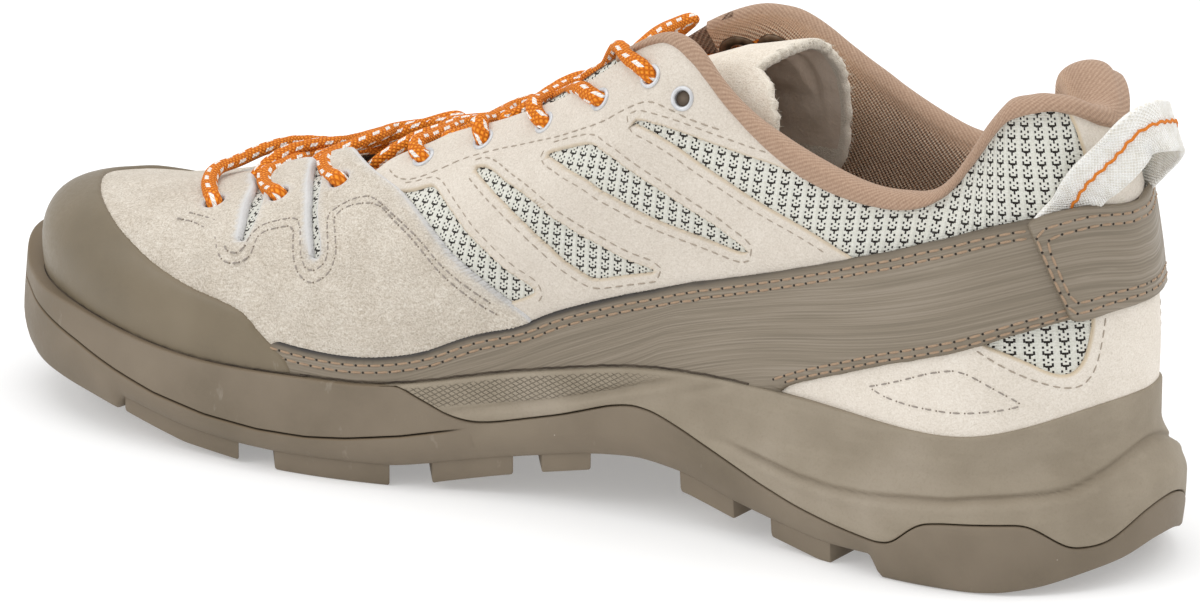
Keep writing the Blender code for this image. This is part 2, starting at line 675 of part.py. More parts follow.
def make_laces():
    laces = tube("laces", zigzag(True), LACE_R, CORD, 0.8)
    other = tube("lace_return_form", zigzag(False), LACE_R, CORD, 0.8)
    other.hide_render = True
    other.display_type = "WIRE"
    join = laces.modifiers.new("crossings", "BOOLEAN")
    join.operation = "UNION"
    join.solver = "EXACT"
    join.object = other
    return laces


def make_eyelets():
    number = 0
    for station, up, metal, _ in HOLES:
        if not metal:
            continue
        number += 1
        for tag, s in (("m", station), ("l", ROWS - station)):
            t, v = np.array([along(s)]), np.array([up])
            p, n = skin(t, v)[0], skin_normal(t, v)[0]
            a = np.cross(n, (0.0, 0.0, 1.0))
            a /= np.linalg.norm(a)
            b = np.cross(n, a)
            angles = np.linspace(0, 2 * math.pi, 10, endpoint=False)
            ring = np.cos(angles)[:, None] * a + np.sin(angles)[:, None] * b
            low, high = 0.55, 0.55 + EYELET_T
            rings = [p + EYELET_HOLE * ring + low * n, p + EYELET_R * ring + low * n,
                     p + (EYELET_R - 0.3) * ring + high * n, p + EYELET_HOLE * ring + high * n]
            verts, faces, numbers = [], [], []
            for r in rings:
                numbers.append(list(range(len(verts), len(verts) + len(r))))
                verts.extend(r)
            bands(faces, numbers + numbers[:1])
            finish("eyelet_%s%d" % (tag, number), verts, faces, METAL, 0.3, 1.0)


def main():
    for obj in list(bpy.data.objects):
        bpy.data.objects.remove(obj, do_unlink=True)
    make_outsole()
    make_midsole()
    make_insole()
    make_upper()
    make_toe_cap()
    make_side_band()
    make_tongue()
    make_pull_loop()
    make_laces()
    make_eyelets()


main()
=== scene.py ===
"""Looks of the low-cut approach sneaker (right shoe).

Tables are millimetres in shoe coordinates: x from the heel to the toe, y
positive on the medial side, z up.  Lines on the upper are charted as
(station, up): station 0 is the middle of the heel, 12 the toe tip, negative
stations run down the lateral side; up goes from 0 at the sole rim to 1 at
the top edge.
"""
import math

import bpy
import bmesh
import numpy as np
from mathutils import Vector, Matrix, kdtree
from mathutils.geometry import delaunay_2d_cdt


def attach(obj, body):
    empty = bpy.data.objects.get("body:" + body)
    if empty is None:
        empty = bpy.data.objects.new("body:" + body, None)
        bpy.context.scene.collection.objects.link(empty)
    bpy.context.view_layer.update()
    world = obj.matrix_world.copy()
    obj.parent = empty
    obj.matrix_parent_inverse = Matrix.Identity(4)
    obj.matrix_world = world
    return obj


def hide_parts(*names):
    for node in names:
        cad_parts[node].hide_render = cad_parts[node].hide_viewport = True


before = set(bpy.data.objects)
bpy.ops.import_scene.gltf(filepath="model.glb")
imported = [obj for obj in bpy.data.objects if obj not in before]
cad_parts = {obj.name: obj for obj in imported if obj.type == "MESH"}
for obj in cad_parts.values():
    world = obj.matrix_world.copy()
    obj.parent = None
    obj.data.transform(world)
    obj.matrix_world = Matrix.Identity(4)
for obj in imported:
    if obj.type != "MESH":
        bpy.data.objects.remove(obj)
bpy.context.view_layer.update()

MM = 0.001
MID = np.array([156.89, -0.18, 0.0])
RNG = np.random.default_rng(7)

# ================================================================ forms shared with the solids
GAP = 0.3
WALL = 2.2
BOTTOM_IN = 2.6
WIDEST = 0.30
LIP = 1.7
INSOLE_T = 4.0

SOLE = [
    # x      y     rim_in rim_z  ledge  bed_z
    (5.0,  -1.0,  6.0,  42.5,  1.2,  28.6),
    (12.0,  19.5,  6.0,  41.0,  1.2,  28.6),
    (36.0,  37.5,  5.0,  35.3,  1.2,  28.6),
    (75.0,  37.5,  2.5,  36.8,  2.0,  28.4),
    (120.0,  34.0,  1.0,  36.4,  3.0,  27.4),
    (140.0,  36.4,  1.0,  33.6,  3.0,  25.4),
    (160.0,  40.5,  1.0,  29.8,  3.0,  22.6),
    (184.0,  47.5,  1.2,  25.0,  3.0,  19.0),
    (205.0,  52.0,  1.5,  24.2,  3.2,  17.9),
    (240.0,  53.5,  2.0,  24.0,  3.4,  17.7),
    (275.0,  48.5,  2.5,  28.6,  3.5,  22.0),
    (299.5,  33.0,  2.8,  31.0,  3.5,  25.6),
    (309.5,   9.0,  2.8,  32.0,  3.5,  26.8),
    (302.0, -16.0,  2.8,  31.0,  3.5,  25.6),
    (280.0, -37.0,  2.5,  28.6,  3.5,  22.0),
    (238.0, -50.0,  2.0,  24.2,  3.4,  17.7),
    (195.0, -54.0,  1.5,  24.2,  3.2,  17.9),
    (170.0, -52.0,  1.2,  26.5,  3.0,  19.6),
    (148.0, -48.5,  1.0,  30.2,  3.0,  22.6),
    (127.0, -45.0,  1.0,  33.6,  3.0,  25.4),
    (105.0, -41.5,  1.0,  36.0,  3.0,  27.4),
    (72.0, -39.0,  2.5,  36.8,  2.0,  28.4),
    (36.0, -37.5,  5.0,  35.3,  1.2,  28.6),
    (12.0, -21.0,  6.0,  41.0,  1.2,  28.6),
]
UPPER = [
    # top_x   top_y  top_z low_a low_r  up_a up_r  pad
    (20.5,   0.0, 104.5,   3,  22,  14,  24,  5.0),
    (27.5,  16.0, 109.8,   3,  22,  14,  24,  5.0),
    (42.0,  26.5,  97.5,   3,  20,  12,  20,  4.5),
    (62.0,  29.0,  87.7,   0,  18,   8,  18,  3.5),
    (91.0,  27.0,  95.8,  -4,  20,  14,  20,  2.0),
    (107.0,  23.2, 105.2,  -5,  22,  24,  26,  1.0),
    (125.0,  19.5, 112.0,  -5,  22,  36,  30,  0.4),
    (160.0,  17.0,  90.0,  -2,  22,  50,  26,  0.0),
    (192.0,  15.0,  77.2,   2,  22,  60,  26,  0.0),
    (224.0,  12.0,  66.5,   6,  20,  72,  28,  0.0),
    (245.0,   9.0,  58.6,   8,  21,  80,  32,  0.0),
    (255.0,   5.0,  55.5,   8,  20,  86,  38,  0.0),
    (258.0,   0.0,  54.5,   8,  18,  86,  40,  0.0),
    (255.0,  -5.0,  55.2,   6,  15,  76,  34,  0.0),
    (245.0,  -9.0,  58.0,   6,  15,  64,  26,  0.0),
    (222.0, -12.0,  66.0,   5,  17,  60,  25,  0.0),
    (188.0, -15.0,  77.5,   2,  20,  55,  26,  0.0),
    (157.0, -17.0,  91.0,  -2,  22,  47,  26,  0.0),
    (125.0, -19.5, 111.0,  -5,  22,  36,  30,  0.4),
    (107.0, -23.0, 104.8,  -5,  22,  24,  26,  1.0),
    (91.0, -27.0,  94.5,  -4,  20,  14,  20,  2.0),
    (62.0, -29.0,  87.7,   0,  18,   8,  18,  3.5),
    (42.0, -26.5,  97.5,   3,  20,  12,  20,  4.5),
    (28.5, -16.0, 108.8,   3,  22,  14,  24,  5.0),
]
TREAD = [
    # x     tread_z  body_z
    (5.0,    16.0,   18.0), (10.0,    8.5,   11.5), (20.0,    3.0,    7.2), (30.0,    0.0,    4.8),
    (75.0,    0.0,    4.6), (90.0,    2.8,    7.0), (100.0,   4.6,    9.0), (112.0,   7.6,   12.6),
    (125.0,  10.0,   14.3), (137.0,  10.0,   13.4), (150.0,   7.6,   11.2), (160.0,   5.6,    9.4),
    (173.0,   2.8,    6.8), (183.0,   0.0,    5.0), (212.0,   0.0,    4.6), (225.0,   0.8,    5.0),
    (240.0,   2.3,    6.4), (258.0,   6.4,   10.0), (275.0,  10.5,   13.8), (290.0,  14.3,   17.1),
    (300.0,  17.0,   19.4), (310.0,  19.0,   21.2),
]
PARTING = [
    # x      z
    (5.0,   18.6), (5.5, 17.8), (6.5, 16.4), (8.0, 14.0), (10.0, 11.5), (12.0, 10.7), (15.5, 10.7),
    (17.5,  12.0), (20.0, 14.3), (22.5, 16.2), (24.5, 16.7), (40.0, 16.0), (45.5, 15.3), (48.0, 14.0),
    (50.5,  11.8), (53.0,  9.6), (55.0,  8.9), (60.0,  8.8), (70.0, 10.3), (80.0, 12.4), (90.0, 15.5),
    (99.0,  18.8), (106.7, 21.7), (112.0, 23.8), (120.0, 26.6), (125.6, 27.3),
    (131.0, 26.4), (143.0, 22.6), (151.0, 20.7), (158.7, 18.9), (164.0, 18.2),
    (170.0, 19.2), (175.4, 22.0), (183.0, 24.9),
]
FORE_X = 184.0
LUGS = [
    # x0    x1   inner outer
    (14.0,  58.0, 0.60, 0.97), (71.5,  88.4, 0.58, 0.97), (99.0, 114.0, 0.58, 0.97),
    (137.0, 149.0, 0.60, 0.97), (156.0, 175.0, 0.58, 0.97), (185.0, 214.0, 0.60, 0.97),
    (224.0, 258.0, 0.58, 0.96), (264.0, 284.0, 0.52, 0.90),
    (30.0,  46.0, -0.36, 0.36), (58.0,  72.0, -0.36, 0.36), (160.0, 174.0, -0.38, 0.38),
    (186.0, 200.0, -0.38, 0.38), (212.0, 226.0, -0.38, 0.38), (238.0, 250.0, -0.36, 0.36),
]
MIDDLE_LUGS_FROM = 8
HOLES = [
    # station up    metal laced
    (9.63, 0.722, False, True), (9.04, 0.768, False, True), (8.555, 0.818, False, True),
    (7.96, 0.888, True, True), (7.46, 0.926, True, True), (6.93, 0.906, True, True),
    (6.47, 0.874, True, True), (6.04, 0.882, True, True), (5.53, 0.848, True, False),
]
TONGUE = [
    # x     crown_z half_w  drop
    (101.0, 108.8,  18.0,  24.0), (118.0, 105.2,  19.5,  20.0), (136.0,  98.0,  21.5,  17.0),
    (160.0,  83.4,  22.0,  14.0), (192.0,  69.8,  20.0,   9.0), (224.0,  58.4,  16.0,   5.0),
    (245.0,  51.8,  12.0,   2.5), (260.0,  47.2,   7.0,   1.0),
]
LOOP = [
    # x      y      z
    (24.0,  22.6,  89.2), (19.4,  19.0,  92.8), (13.6,  13.2,  97.4), (8.4,    6.6, 102.2),
    (6.0,    0.0, 104.2), (8.4,   -6.6, 102.2), (13.6, -13.2,  97.4), (19.4, -19.2,  92.8),
    (24.0, -23.0,  89.2),
]
LOOP_W, LOOP_T, LOOP_AXIS_X, LOOP_LEAN = 11.5, 1.4, 45.0, 0.30


def column(table, k):
    return np.array([row[k] for row in table], float)


def chart(table, k, x):
    return np.interp(x, column(table, 0), column(table, k))


class Ring:
    """Closed cubic through one value per station row."""

    def __init__(self, knots, values):
        n = len(values)
        h = np.diff(knots)
        y = np.append(values, values[0])
        a = np.zeros((n, n))
        b = np.zeros(n)
        for i in range(n):
            before, after = h[i - 1], h[i]
            a[i, (i - 1) % n] += before
            a[i, i] += 2 * (before + after)
            a[i, (i + 1) % n] += after
            b[i] = 6 * ((y[i + 1] - y[i]) / after - (y[i] - y[(i - 1) % n]) / before)
        m = np.linalg.solve(a, b)
        self.k, self.h, self.y, self.m = knots, h, y, np.append(m, m[0])

    def __call__(self, t):
        t = np.mod(np.asarray(t, float), self.k[-1])
        i = np.clip(np.searchsorted(self.k, t, side="right") - 1, 0, len(self.h) - 1)
        h = self.h[i]
        a, c = (self.k[i + 1] - t) / h, (t - self.k[i]) / h
        return (a * self.y[i] + c * self.y[i + 1]
                + ((a ** 3 - a) * self.m[i] + (c ** 3 - c) * self.m[i + 1]) * h * h / 6)


ROWS = len(SOLE)
_x, _y = column(SOLE, 0), column(SOLE, 1)
KNOTS = np.concatenate([[0.0], np.cumsum(np.hypot(np.roll(_x, -1) - _x, np.roll(_y, -1) - _y) ** 0.5)])
SX, SY, RIM_IN, RIM_Z, LEDGE, BED_Z = (Ring(KNOTS, column(SOLE, k)) for k in range(6))
TX, TY, TZ, LOW_A, LOW_R, UP_A, UP_R, PAD = (Ring(KNOTS, column(UPPER, k)) for k in range(8))
TOE_ROW = 12


def along(station):
    return np.interp(np.mod(station, ROWS), np.arange(ROWS + 1), KNOTS)


def edge(t):
    e = 1e-3
    p = np.stack([SX(t), SY(t)], -1)
    dx, dy = SX(t + e) - SX(t - e), SY(t + e) - SY(t - e)
    length = np.hypot(dx, dy)
    return p, np.stack([-dy / length, dx / length], -1)


def skin(t, v):
    t, v = np.broadcast_arrays(np.asarray(t, float), np.asarray(v, float))
    p, n = edge(t)
    inset = RIM_IN(t) + LEDGE(t)
    up = np.array([0.0, 0.0, 1.0])
    out = np.stack([n[..., 0], n[..., 1], np.zeros_like(t)], -1)
    low = np.stack([p[..., 0] - inset * n[..., 0], p[..., 1] - inset * n[..., 1], RIM_Z(t)], -1)
    top = np.stack([TX(t), TY(t), TZ(t)], -1)
    a, b = np.radians(LOW_A(t))[..., None], np.radians(UP_A(t))[..., None]
    c1 = low + LOW_R(t)[..., None] * (np.sin(a) * out + np.cos(a) * up)
    c2 = top + UP_R(t)[..., None] * (np.sin(b) * out - np.cos(b) * up)
    w = np.clip(v, 0, 1)[..., None]
    s = (1 - w) ** 3 * low + 3 * (1 - w) ** 2 * w * c1 + 3 * (1 - w) * w * w * c2 + w ** 3 * top
    drop = (RIM_Z(t) - BED_Z(t) - GAP)[..., None]
    return s + np.minimum(v, 0)[..., None] * drop * up


def skin_normal(t, v):
    e, d = 2e-2, 4e-3
    t, v = np.broadcast_arrays(np.asarray(t, float), np.asarray(v, float))
    du = skin(t + e, v) - skin(t - e, v)
    dv = skin(t, np.minimum(np.maximum(v, 0) + d, 1.0)) - skin(t, np.maximum(np.minimum(v, 1.0) - d, 0.0))
    n = np.cross(du, dv)
    n /= np.linalg.norm(n, axis=-1, keepdims=True)
    out = edge(t)[1]
    flat = np.stack([out[..., 0], out[..., 1], 0 * out[..., 0]], -1)
    n = np.where((n * flat).sum(-1, keepdims=True) + n[..., 2:3] < 0, -n, n)
    return np.where((v < 0)[..., None], flat, n)


def wall_thickness(t, v):
    rise = np.clip((np.asarray(v) - 0.50) / 0.36, 0, 1)
    return WALL + np.maximum(PAD(t), 0) * rise * rise * (3 - 2 * rise)


# the toe box falls away over its top and towards the little toe
SINK = [
    # x     mm
    (238.0, 0.0), (250.0, 0.8), (262.0, 2.0), (272.0, 3.0), (280.0, 3.5), (285.0, 2.9), (290.0, 2.2), (302.0, 2.2),
]


def on_skin(s, v, h=0.0):
    """Point h millimetres above the upper's surface at station s, height share v."""
    s, v, h = np.broadcast_arrays(np.asarray(s, float), np.asarray(v, float), np.asarray(h, float))
    t = along(s)
    p = skin(t, v) + h[..., None] * skin_normal(t, v)
    fall = np.interp(p[..., 0], column(SINK, 0), column(SINK, 1))
    p[..., 2] -= fall * smooth((p[..., 2] - 36.0) / 15.0) * smooth((22.0 - p[..., 1]) / 24.0)
    return p


def stations(n):
    t = np.linspace(0, KNOTS[-1], 6001)
    p, d = edge(t)
    step = np.hypot(*np.diff(p, axis=0).T)
    turn = np.abs(np.arcsin(np.clip(d[:-1, 0] * d[1:, 1] - d[:-1, 1] * d[1:, 0], -1, 1)))
    s = np.concatenate([[0], np.cumsum(step + 16.0 * turn)])
    s_toe = np.interp(KNOTS[TOE_ROW], t, s)
    there = np.linspace(0, s_toe, n // 2 + 1)[:-1]
    back = np.linspace(s_toe, s[-1], n // 2 + 1)[:-1]
    return np.interp(np.concatenate([there, back]), s, t)


def smooth(s):
    s = np.clip(s, 0, 1)
    return s * s * (3 - 2 * s)


def bell(d, width):
    return np.exp(-(d / width) ** 2)


# ================================================================ materials
def lin(r, g, b):
    """Linear colour from 0..255 display values."""
    c = np.array([r, g, b]) / 255.0
    c = np.where(c <= 0.04045, c / 12.92, ((c + 0.055) / 1.055) ** 2.4)
    return (float(c[0]), float(c[1]), float(c[2]), 1.0)


class Finish:
    """A procedural material; lengths given to its textures are millimetres."""

    def __init__(self, name, roughness=0.8, **sockets):
        self.mat = bpy.data.materials.new(name)
        self.mat.use_nodes = True
        self.tree = self.mat.node_tree
        self.shader = self.tree.nodes["Principled BSDF"]
        self.shader.inputs["Roughness"].default_value = roughness
        for key, value in sockets.items():
            self.shader.inputs[key.replace("_", " ")].default_value = value
        tex = self.tree.nodes.new("ShaderNodeTexCoord")
        scale = self.tree.nodes.new("ShaderNodeVectorMath")
        scale.operation = "MULTIPLY"
        scale.inputs[1].default_value = (1000.0, 1000.0, 1000.0)
        self.tree.links.new(tex.outputs["Object"], scale.inputs[0])
        self.place = scale.outputs[0]
        self.uv = tex.outputs["UV"]

    def put(self, socket, value):
        if hasattr(value, "is_output"):
            self.tree.links.new(value, socket)
        else:
            socket.default_value = value

    def stretch(self, vector, rotate=(0, 0, 0), scale=(1, 1, 1)):
        node = self.tree.nodes.new("ShaderNodeMapping")
        node.inputs["Rotation"].default_value = rotate
        node.inputs["Scale"].default_value = scale
        self.put(node.inputs["Vector"], vector)
        return node.outputs[0]

    def noise(self, size, vector=None, detail=2.0, rough=0.5, distortion=0.0, colour=False):
        node = self.tree.nodes.new("ShaderNodeTexNoise")
        node.inputs["Scale"].default_value = 1.0 / size
        node.inputs["Detail"].default_value = detail
        node.inputs["Roughness"].default_value = rough
        node.inputs["Distortion"].default_value = distortion
        self.put(node.inputs["Vector"], self.place if vector is None else vector)
        return node.outputs["Color" if colour else "Fac"]

    def voronoi(self, size, vector=None, feature="F1", randomness=1.0):
        node = self.tree.nodes.new("ShaderNodeTexVoronoi")
        node.feature = feature
        node.inputs["Scale"].default_value = 1.0 / size
        node.inputs["Randomness"].default_value = randomness
        self.put(node.inputs["Vector"], self.place if vector is None else vector)
        return node.outputs["Distance"]

    def math(self, op, a, b=0.0, c=0.0, clamp=False):
        node = self.tree.nodes.new("ShaderNodeMath")
        node.operation = op
        node.use_clamp = clamp
        for socket, value in zip(node.inputs, (a, b, c)):
            self.put(socket, value)
        return node.outputs[0]

    def vec(self, op, a, b):
        node = self.tree.nodes.new("ShaderNodeVectorMath")
        node.operation = op
        self.put(node.inputs[0], a)
        self.put(node.inputs[1], b)
        return node.outputs[0]

    def split(self, vector):
        node = self.tree.nodes.new("ShaderNodeSeparateXYZ")
        self.put(node.inputs[0], vector)
        return node.outputs

    def join(self, x, y, z=0.0):
        node = self.tree.nodes.new("ShaderNodeCombineXYZ")
        for socket, value in zip(node.inputs, (x, y, z)):
            self.put(socket, value)
        return node.outputs[0]

    def ramp(self, fac, stops, constant=False):
        node = self.tree.nodes.new("ShaderNodeValToRGB")
        node.color_ramp.interpolation = "CONSTANT" if constant else "LINEAR"
        while len(node.color_ramp.elements) < len(stops):
            node.color_ramp.elements.new(0.5)
        for element, (pos, value) in zip(node.color_ramp.elements, stops):
            element.position = pos
            element.color = value if isinstance(value, tuple) else (value, value, value, 1.0)
        self.put(node.inputs[0], fac)
        return node.outputs["Color"]

    def range(self, fac, lo, hi, to_lo=0.0, to_hi=1.0, kind="LINEAR"):
        node = self.tree.nodes.new("ShaderNodeMapRange")
        node.interpolation_type = kind
        self.put(node.inputs["Value"], fac)
        for key, value in (("From Min", lo), ("From Max", hi), ("To Min", to_lo), ("To Max", to_hi)):
            node.inputs[key].default_value = value
        return node.outputs[0]

    def mix(self, fac, a, b, blend="MIX"):
        node = self.tree.nodes.new("ShaderNodeMix")
        node.data_type = "RGBA"
        node.blend_type = blend
        self.put(node.inputs[0], fac)
        self.put(node.inputs[6], a)
        self.put(node.inputs[7], b)
        return node.outputs[2]

    def chart(self, name):
        """Value charted on the mesh's own points."""
        node = self.tree.nodes.new("ShaderNodeAttribute")
        node.attribute_name = name
        return node.outputs["Fac"]

    def bump(self, height, depth, normal=None, strength=1.0):
        node = self.tree.nodes.new("ShaderNodeBump")
        node.inputs["Strength"].default_value = strength
        node.inputs["Distance"].default_value = depth * MM
        self.put(node.inputs["Height"], height)
        if normal is not None:
            self.put(node.inputs["Normal"], normal)
        return node.outputs[0]

    def colour(self, value):
        self.put(self.shader.inputs["Base Color"], value)

    def rough(self, value):
        self.put(self.shader.inputs["Roughness"], value)

    def normal(self, value):
        self.put(self.shader.inputs["Normal"], value)


def rubber_finish(name, dark, mid, light, roughness, speck=0.5, coat=0.0):
    f = Finish(name, roughness, Specular_IOR_Level=0.35, Coat_Weight=coat, Coat_Roughness=0.45)
    cloud = f.noise(26.0, detail=3.0)
    fine = f.noise(1.1, detail=3.0, rough=0.6)
    base = f.ramp(cloud, [(0.30, dark), (0.52, mid), (0.74, light)])
    base = f.mix(f.range(fine, 0.35, 0.75, 0.0, 0.22), base, light)
    dust = f.voronoi(6.5)
    grains = f.math("MULTIPLY", f.range(dust, 0.018, 0.034, 1.0, 0.0), f.range(f.noise(19.0), 0.50, 0.60))
    scuff = f.noise(7.0, f.stretch(f.place, (0.2, 0.5, 0.4), (1.0, 0.12, 0.5)), detail=4.0, rough=0.7)
    marks = f.math("ADD", f.math("MULTIPLY", grains, speck), f.range(scuff, 0.66, 0.80, 0.0, 0.22), clamp=True)
    base = f.mix(marks, base, lin(205, 198, 186))
    # painted shade: brown laid in the grooves, along the parting, under neighbouring parts and round the cap's cut edge
    worn = f.chart("worn")
    base = f.mix(f.math("MULTIPLY", worn, 0.5), base, lin(110, 90, 62))
    # painted shade: near-black at the bottom of the groove, inside the outsole's top and along the cap's foot
    base = f.mix(f.chart("dark"), base, lin(44, 36, 29))
    f.colour(base)
    f.rough(f.range(fine, 0.3, 0.7, roughness - 0.07, roughness + 0.08))
    f.normal(f.bump(f.noise(0.5, detail=2.0), 0.05, f.bump(cloud, 0.25), 0.6))
    return f.mat


def suede_finish(name, dark, mid, light, raw, nap, hairy=1.0):
    f = Finish(name, 0.96, Specular_IOR_Level=0.12, Sheen_Weight=0.22, Sheen_Roughness=0.6,
               Sheen_Tint=(1.0, 0.97, 0.92, 1.0))
    warp = f.vec("ADD", f.place, f.vec("MULTIPLY", f.noise(9.0, colour=True), (7.0, 7.0, 7.0)))
    a = f.noise(1.0, f.stretch(warp, (0.5, 0.3, 0.7), (0.6, 2.8, 2.8)), detail=3.0, rough=0.62)
    b = f.noise(1.0, f.stretch(warp, (-0.8, 0.9, -0.5), (2.8, 0.6, 2.8)), detail=3.0, rough=0.62)
    hair = f.math("ADD", f.math("MULTIPLY", a, 0.5), f.math("MULTIPLY", b, 0.5))
    cloud = f.noise(11.0, detail=3.0)
    grain = f.noise(0.45, detail=2.0, rough=0.6)
    tone = f.math("ADD", f.math("MULTIPLY", hair, 0.62 * hairy), f.math("MULTIPLY", cloud, 0.14))
    tone = f.math("ADD", tone, f.math("MULTIPLY", grain, 0.34))
    centre = 0.31 * hairy + 0.07 + 0.17
    base = f.ramp(tone, [(centre - 0.11, dark), (centre, mid), (centre + 0.11, light)])
    base = f.mix(f.chart("rim"), base, raw)
    base = f.mix(f.math("MULTIPLY", f.chart("shade"), 0.6), base, lin(132, 112, 92))
    f.colour(base)
    height = f.math("ADD", f.math("MULTIPLY", hair, hairy), f.math("MULTIPLY", grain, 0.5))
    f.normal(f.bump(height, nap))
    return f.mat


def plain_thread(name, colour, roughness=0.75):
    f = Finish(name, roughness, Specular_IOR_Level=0.25)
    twist = f.noise(0.35, detail=1.0)
    f.colour(f.mix(f.range(twist, 0.3, 0.7, 0.0, 0.35), colour, tuple(0.55 * c for c in colour[:3]) + (1.0,)))
    f.normal(f.bump(twist, 0.08))
    return f.mat


RUBBER = rubber_finish("moulded_rubber", lin(107, 96, 80), lin(119, 107, 91), lin(129, 117, 100), 0.62, 0.5)
CAP_RUBBER = rubber_finish("cap_rubber", lin(104, 93, 74), lin(113, 101, 81), lin(122, 110, 90), 0.46, 0.25, 0.14)


def foam_finish():
    f = Finish("skinned_foam", 0.66, Specular_IOR_Level=0.3)
    cloud = f.noise(22.0, detail=3.0)
    fine = f.noise(0.7, detail=3.0, rough=0.65)
    drag = f.noise(3.0, f.stretch(f.place, (0, 0, 0), (0.16, 0.5, 1.0)), detail=3.0)
    base = f.ramp(cloud, [(0.3, lin(134, 123, 106)), (0.52, lin(145, 134, 117)), (0.72, lin(154, 143, 127))])
    base = f.mix(f.range(drag, 0.5, 0.75, 0.0, 0.25), base, lin(162, 151, 133))
    base = f.mix(f.range(fine, 0.5, 0.8, 0.0, 0.25), base, lin(118, 105, 86))
    u, w, _ = f.split(f.uv)
    p = f.math("ADD", f.math("MULTIPLY", u, 1 / 2.0), f.math("MULTIPLY", w, 1 / 1.15))
    q = f.math("SUBTRACT", f.math("MULTIPLY", u, 1 / 2.0), f.math("MULTIPLY", w, 1 / 1.15))

    def rule(x):
        tri = f.math("ABSOLUTE", f.math("SUBTRACT", f.math("FRACT", x), 0.5))
        return f.range(tri, 0.0, 0.14, 1.0, 0.0)

    lines = f.math("MAXIMUM", rule(p), rule(q))
    lines = f.math("MULTIPLY", lines, f.chart("grid"))
    base = f.mix(f.math("MULTIPLY", lines, 0.30), base, lin(98, 87, 71))
    # painted shade: brown on the foam in the heel ledge groove and where it turns in at its joins with the outsole and
    # the upper
    base = f.mix(f.math("MULTIPLY", f.chart("worn"), 0.6), base, lin(102, 88, 68))
    f.colour(base)
    first = f.bump(f.math("SUBTRACT", 1.0, lines), 0.25)
    f.normal(f.bump(fine, 0.10, first))
    return f.mat


FOAM = foam_finish()
VAMP = suede_finish("hairy_suede", lin(172, 161, 145), lin(198, 188, 174), lin(218, 211, 199), lin(206, 205, 204), 0.42)
QUARTER = suede_finish("short_suede", lin(193, 183, 170), lin(206, 197, 185), lin(217, 209, 198), lin(203, 188, 166), 0.24, 0.7)
HEEL_SUEDE = suede_finish("heel_suede", lin(205, 196, 182), lin(219, 210, 198), lin(229, 222, 211), lin(211, 194, 168), 0.24, 0.7)
TONGUE_SUEDE = suede_finish("tongue_suede", lin(206, 194, 177), lin(223, 213, 198), lin(235, 228, 215), lin(219, 211, 197), 0.34, 0.9)

# one repeat of the knit from its lowest course up, in sixteenths of its
# height: stem, cup with a pale middle, one dot, two dots
KNIT = [
    # from to   marks
    (0, 4, "..X.."), (4, 5, ".XXX."), (5, 7, "XXXXX"), (7, 10, "X...X"), (10, 12, "..X.."), (13, 16, "X...X"),
]


def knit_finish():
    f = Finish("jacquard_knit", 0.9, Specular_IOR_Level=0.15, Sheen_Weight=0.1)
    u, w, _ = f.split(f.uv)
    across = f.math("FRACT", u)
    up = f.math("FRACT", w)
    total = None
    wide, n = 0.122, 8
    for low, high, row in KNIT:
        stops = [(0.0, 0.0)]
        for c, mark in enumerate(row):
            stops.append((0.195 + c * wide, 1.0 if mark == "X" else 0.0))
        stops.append((0.195 + len(row) * wide, 0.0))
        line = f.ramp(across, stops, constant=True)
        inside = f.math("MULTIPLY", f.math("GREATER_THAN", up, low / 16.0), f.math("LESS_THAN", up, high / 16.0))
        term = f.math("MULTIPLY", line, inside)
        total = term if total is None else f.math("ADD", total, term)
    soft = f.noise(0.55, detail=2.0)
    ink = f.math("MULTIPLY", total, f.range(soft, 0.2, 0.45, 0.85, 1.0), clamp=True)
    pale = f.mix(f.range(f.noise(0.4), 0.35, 0.7), lin(228, 227, 215), lin(243, 242, 234))
    f.colour(f.mix(ink, pale, lin(40, 34, 30)))
    rib = f.math("ABSOLUTE", f.math("SUBTRACT", across, 0.49))
    stitch = f.math("SINE", f.math("MULTIPLY", w, 2 * math.pi * n))
    height = f.math("ADD", f.range(rib, 0.25, 0.5, 0.0, 1.0, "SMOOTHSTEP"), f.math("MULTIPLY", stitch, 0.25))
    f.normal(f.bump(f.math("SUBTRACT", height, f.math("MULTIPLY", total, 0.35)), 0.3))
    return f.mat


KNIT_MAT = knit_finish()


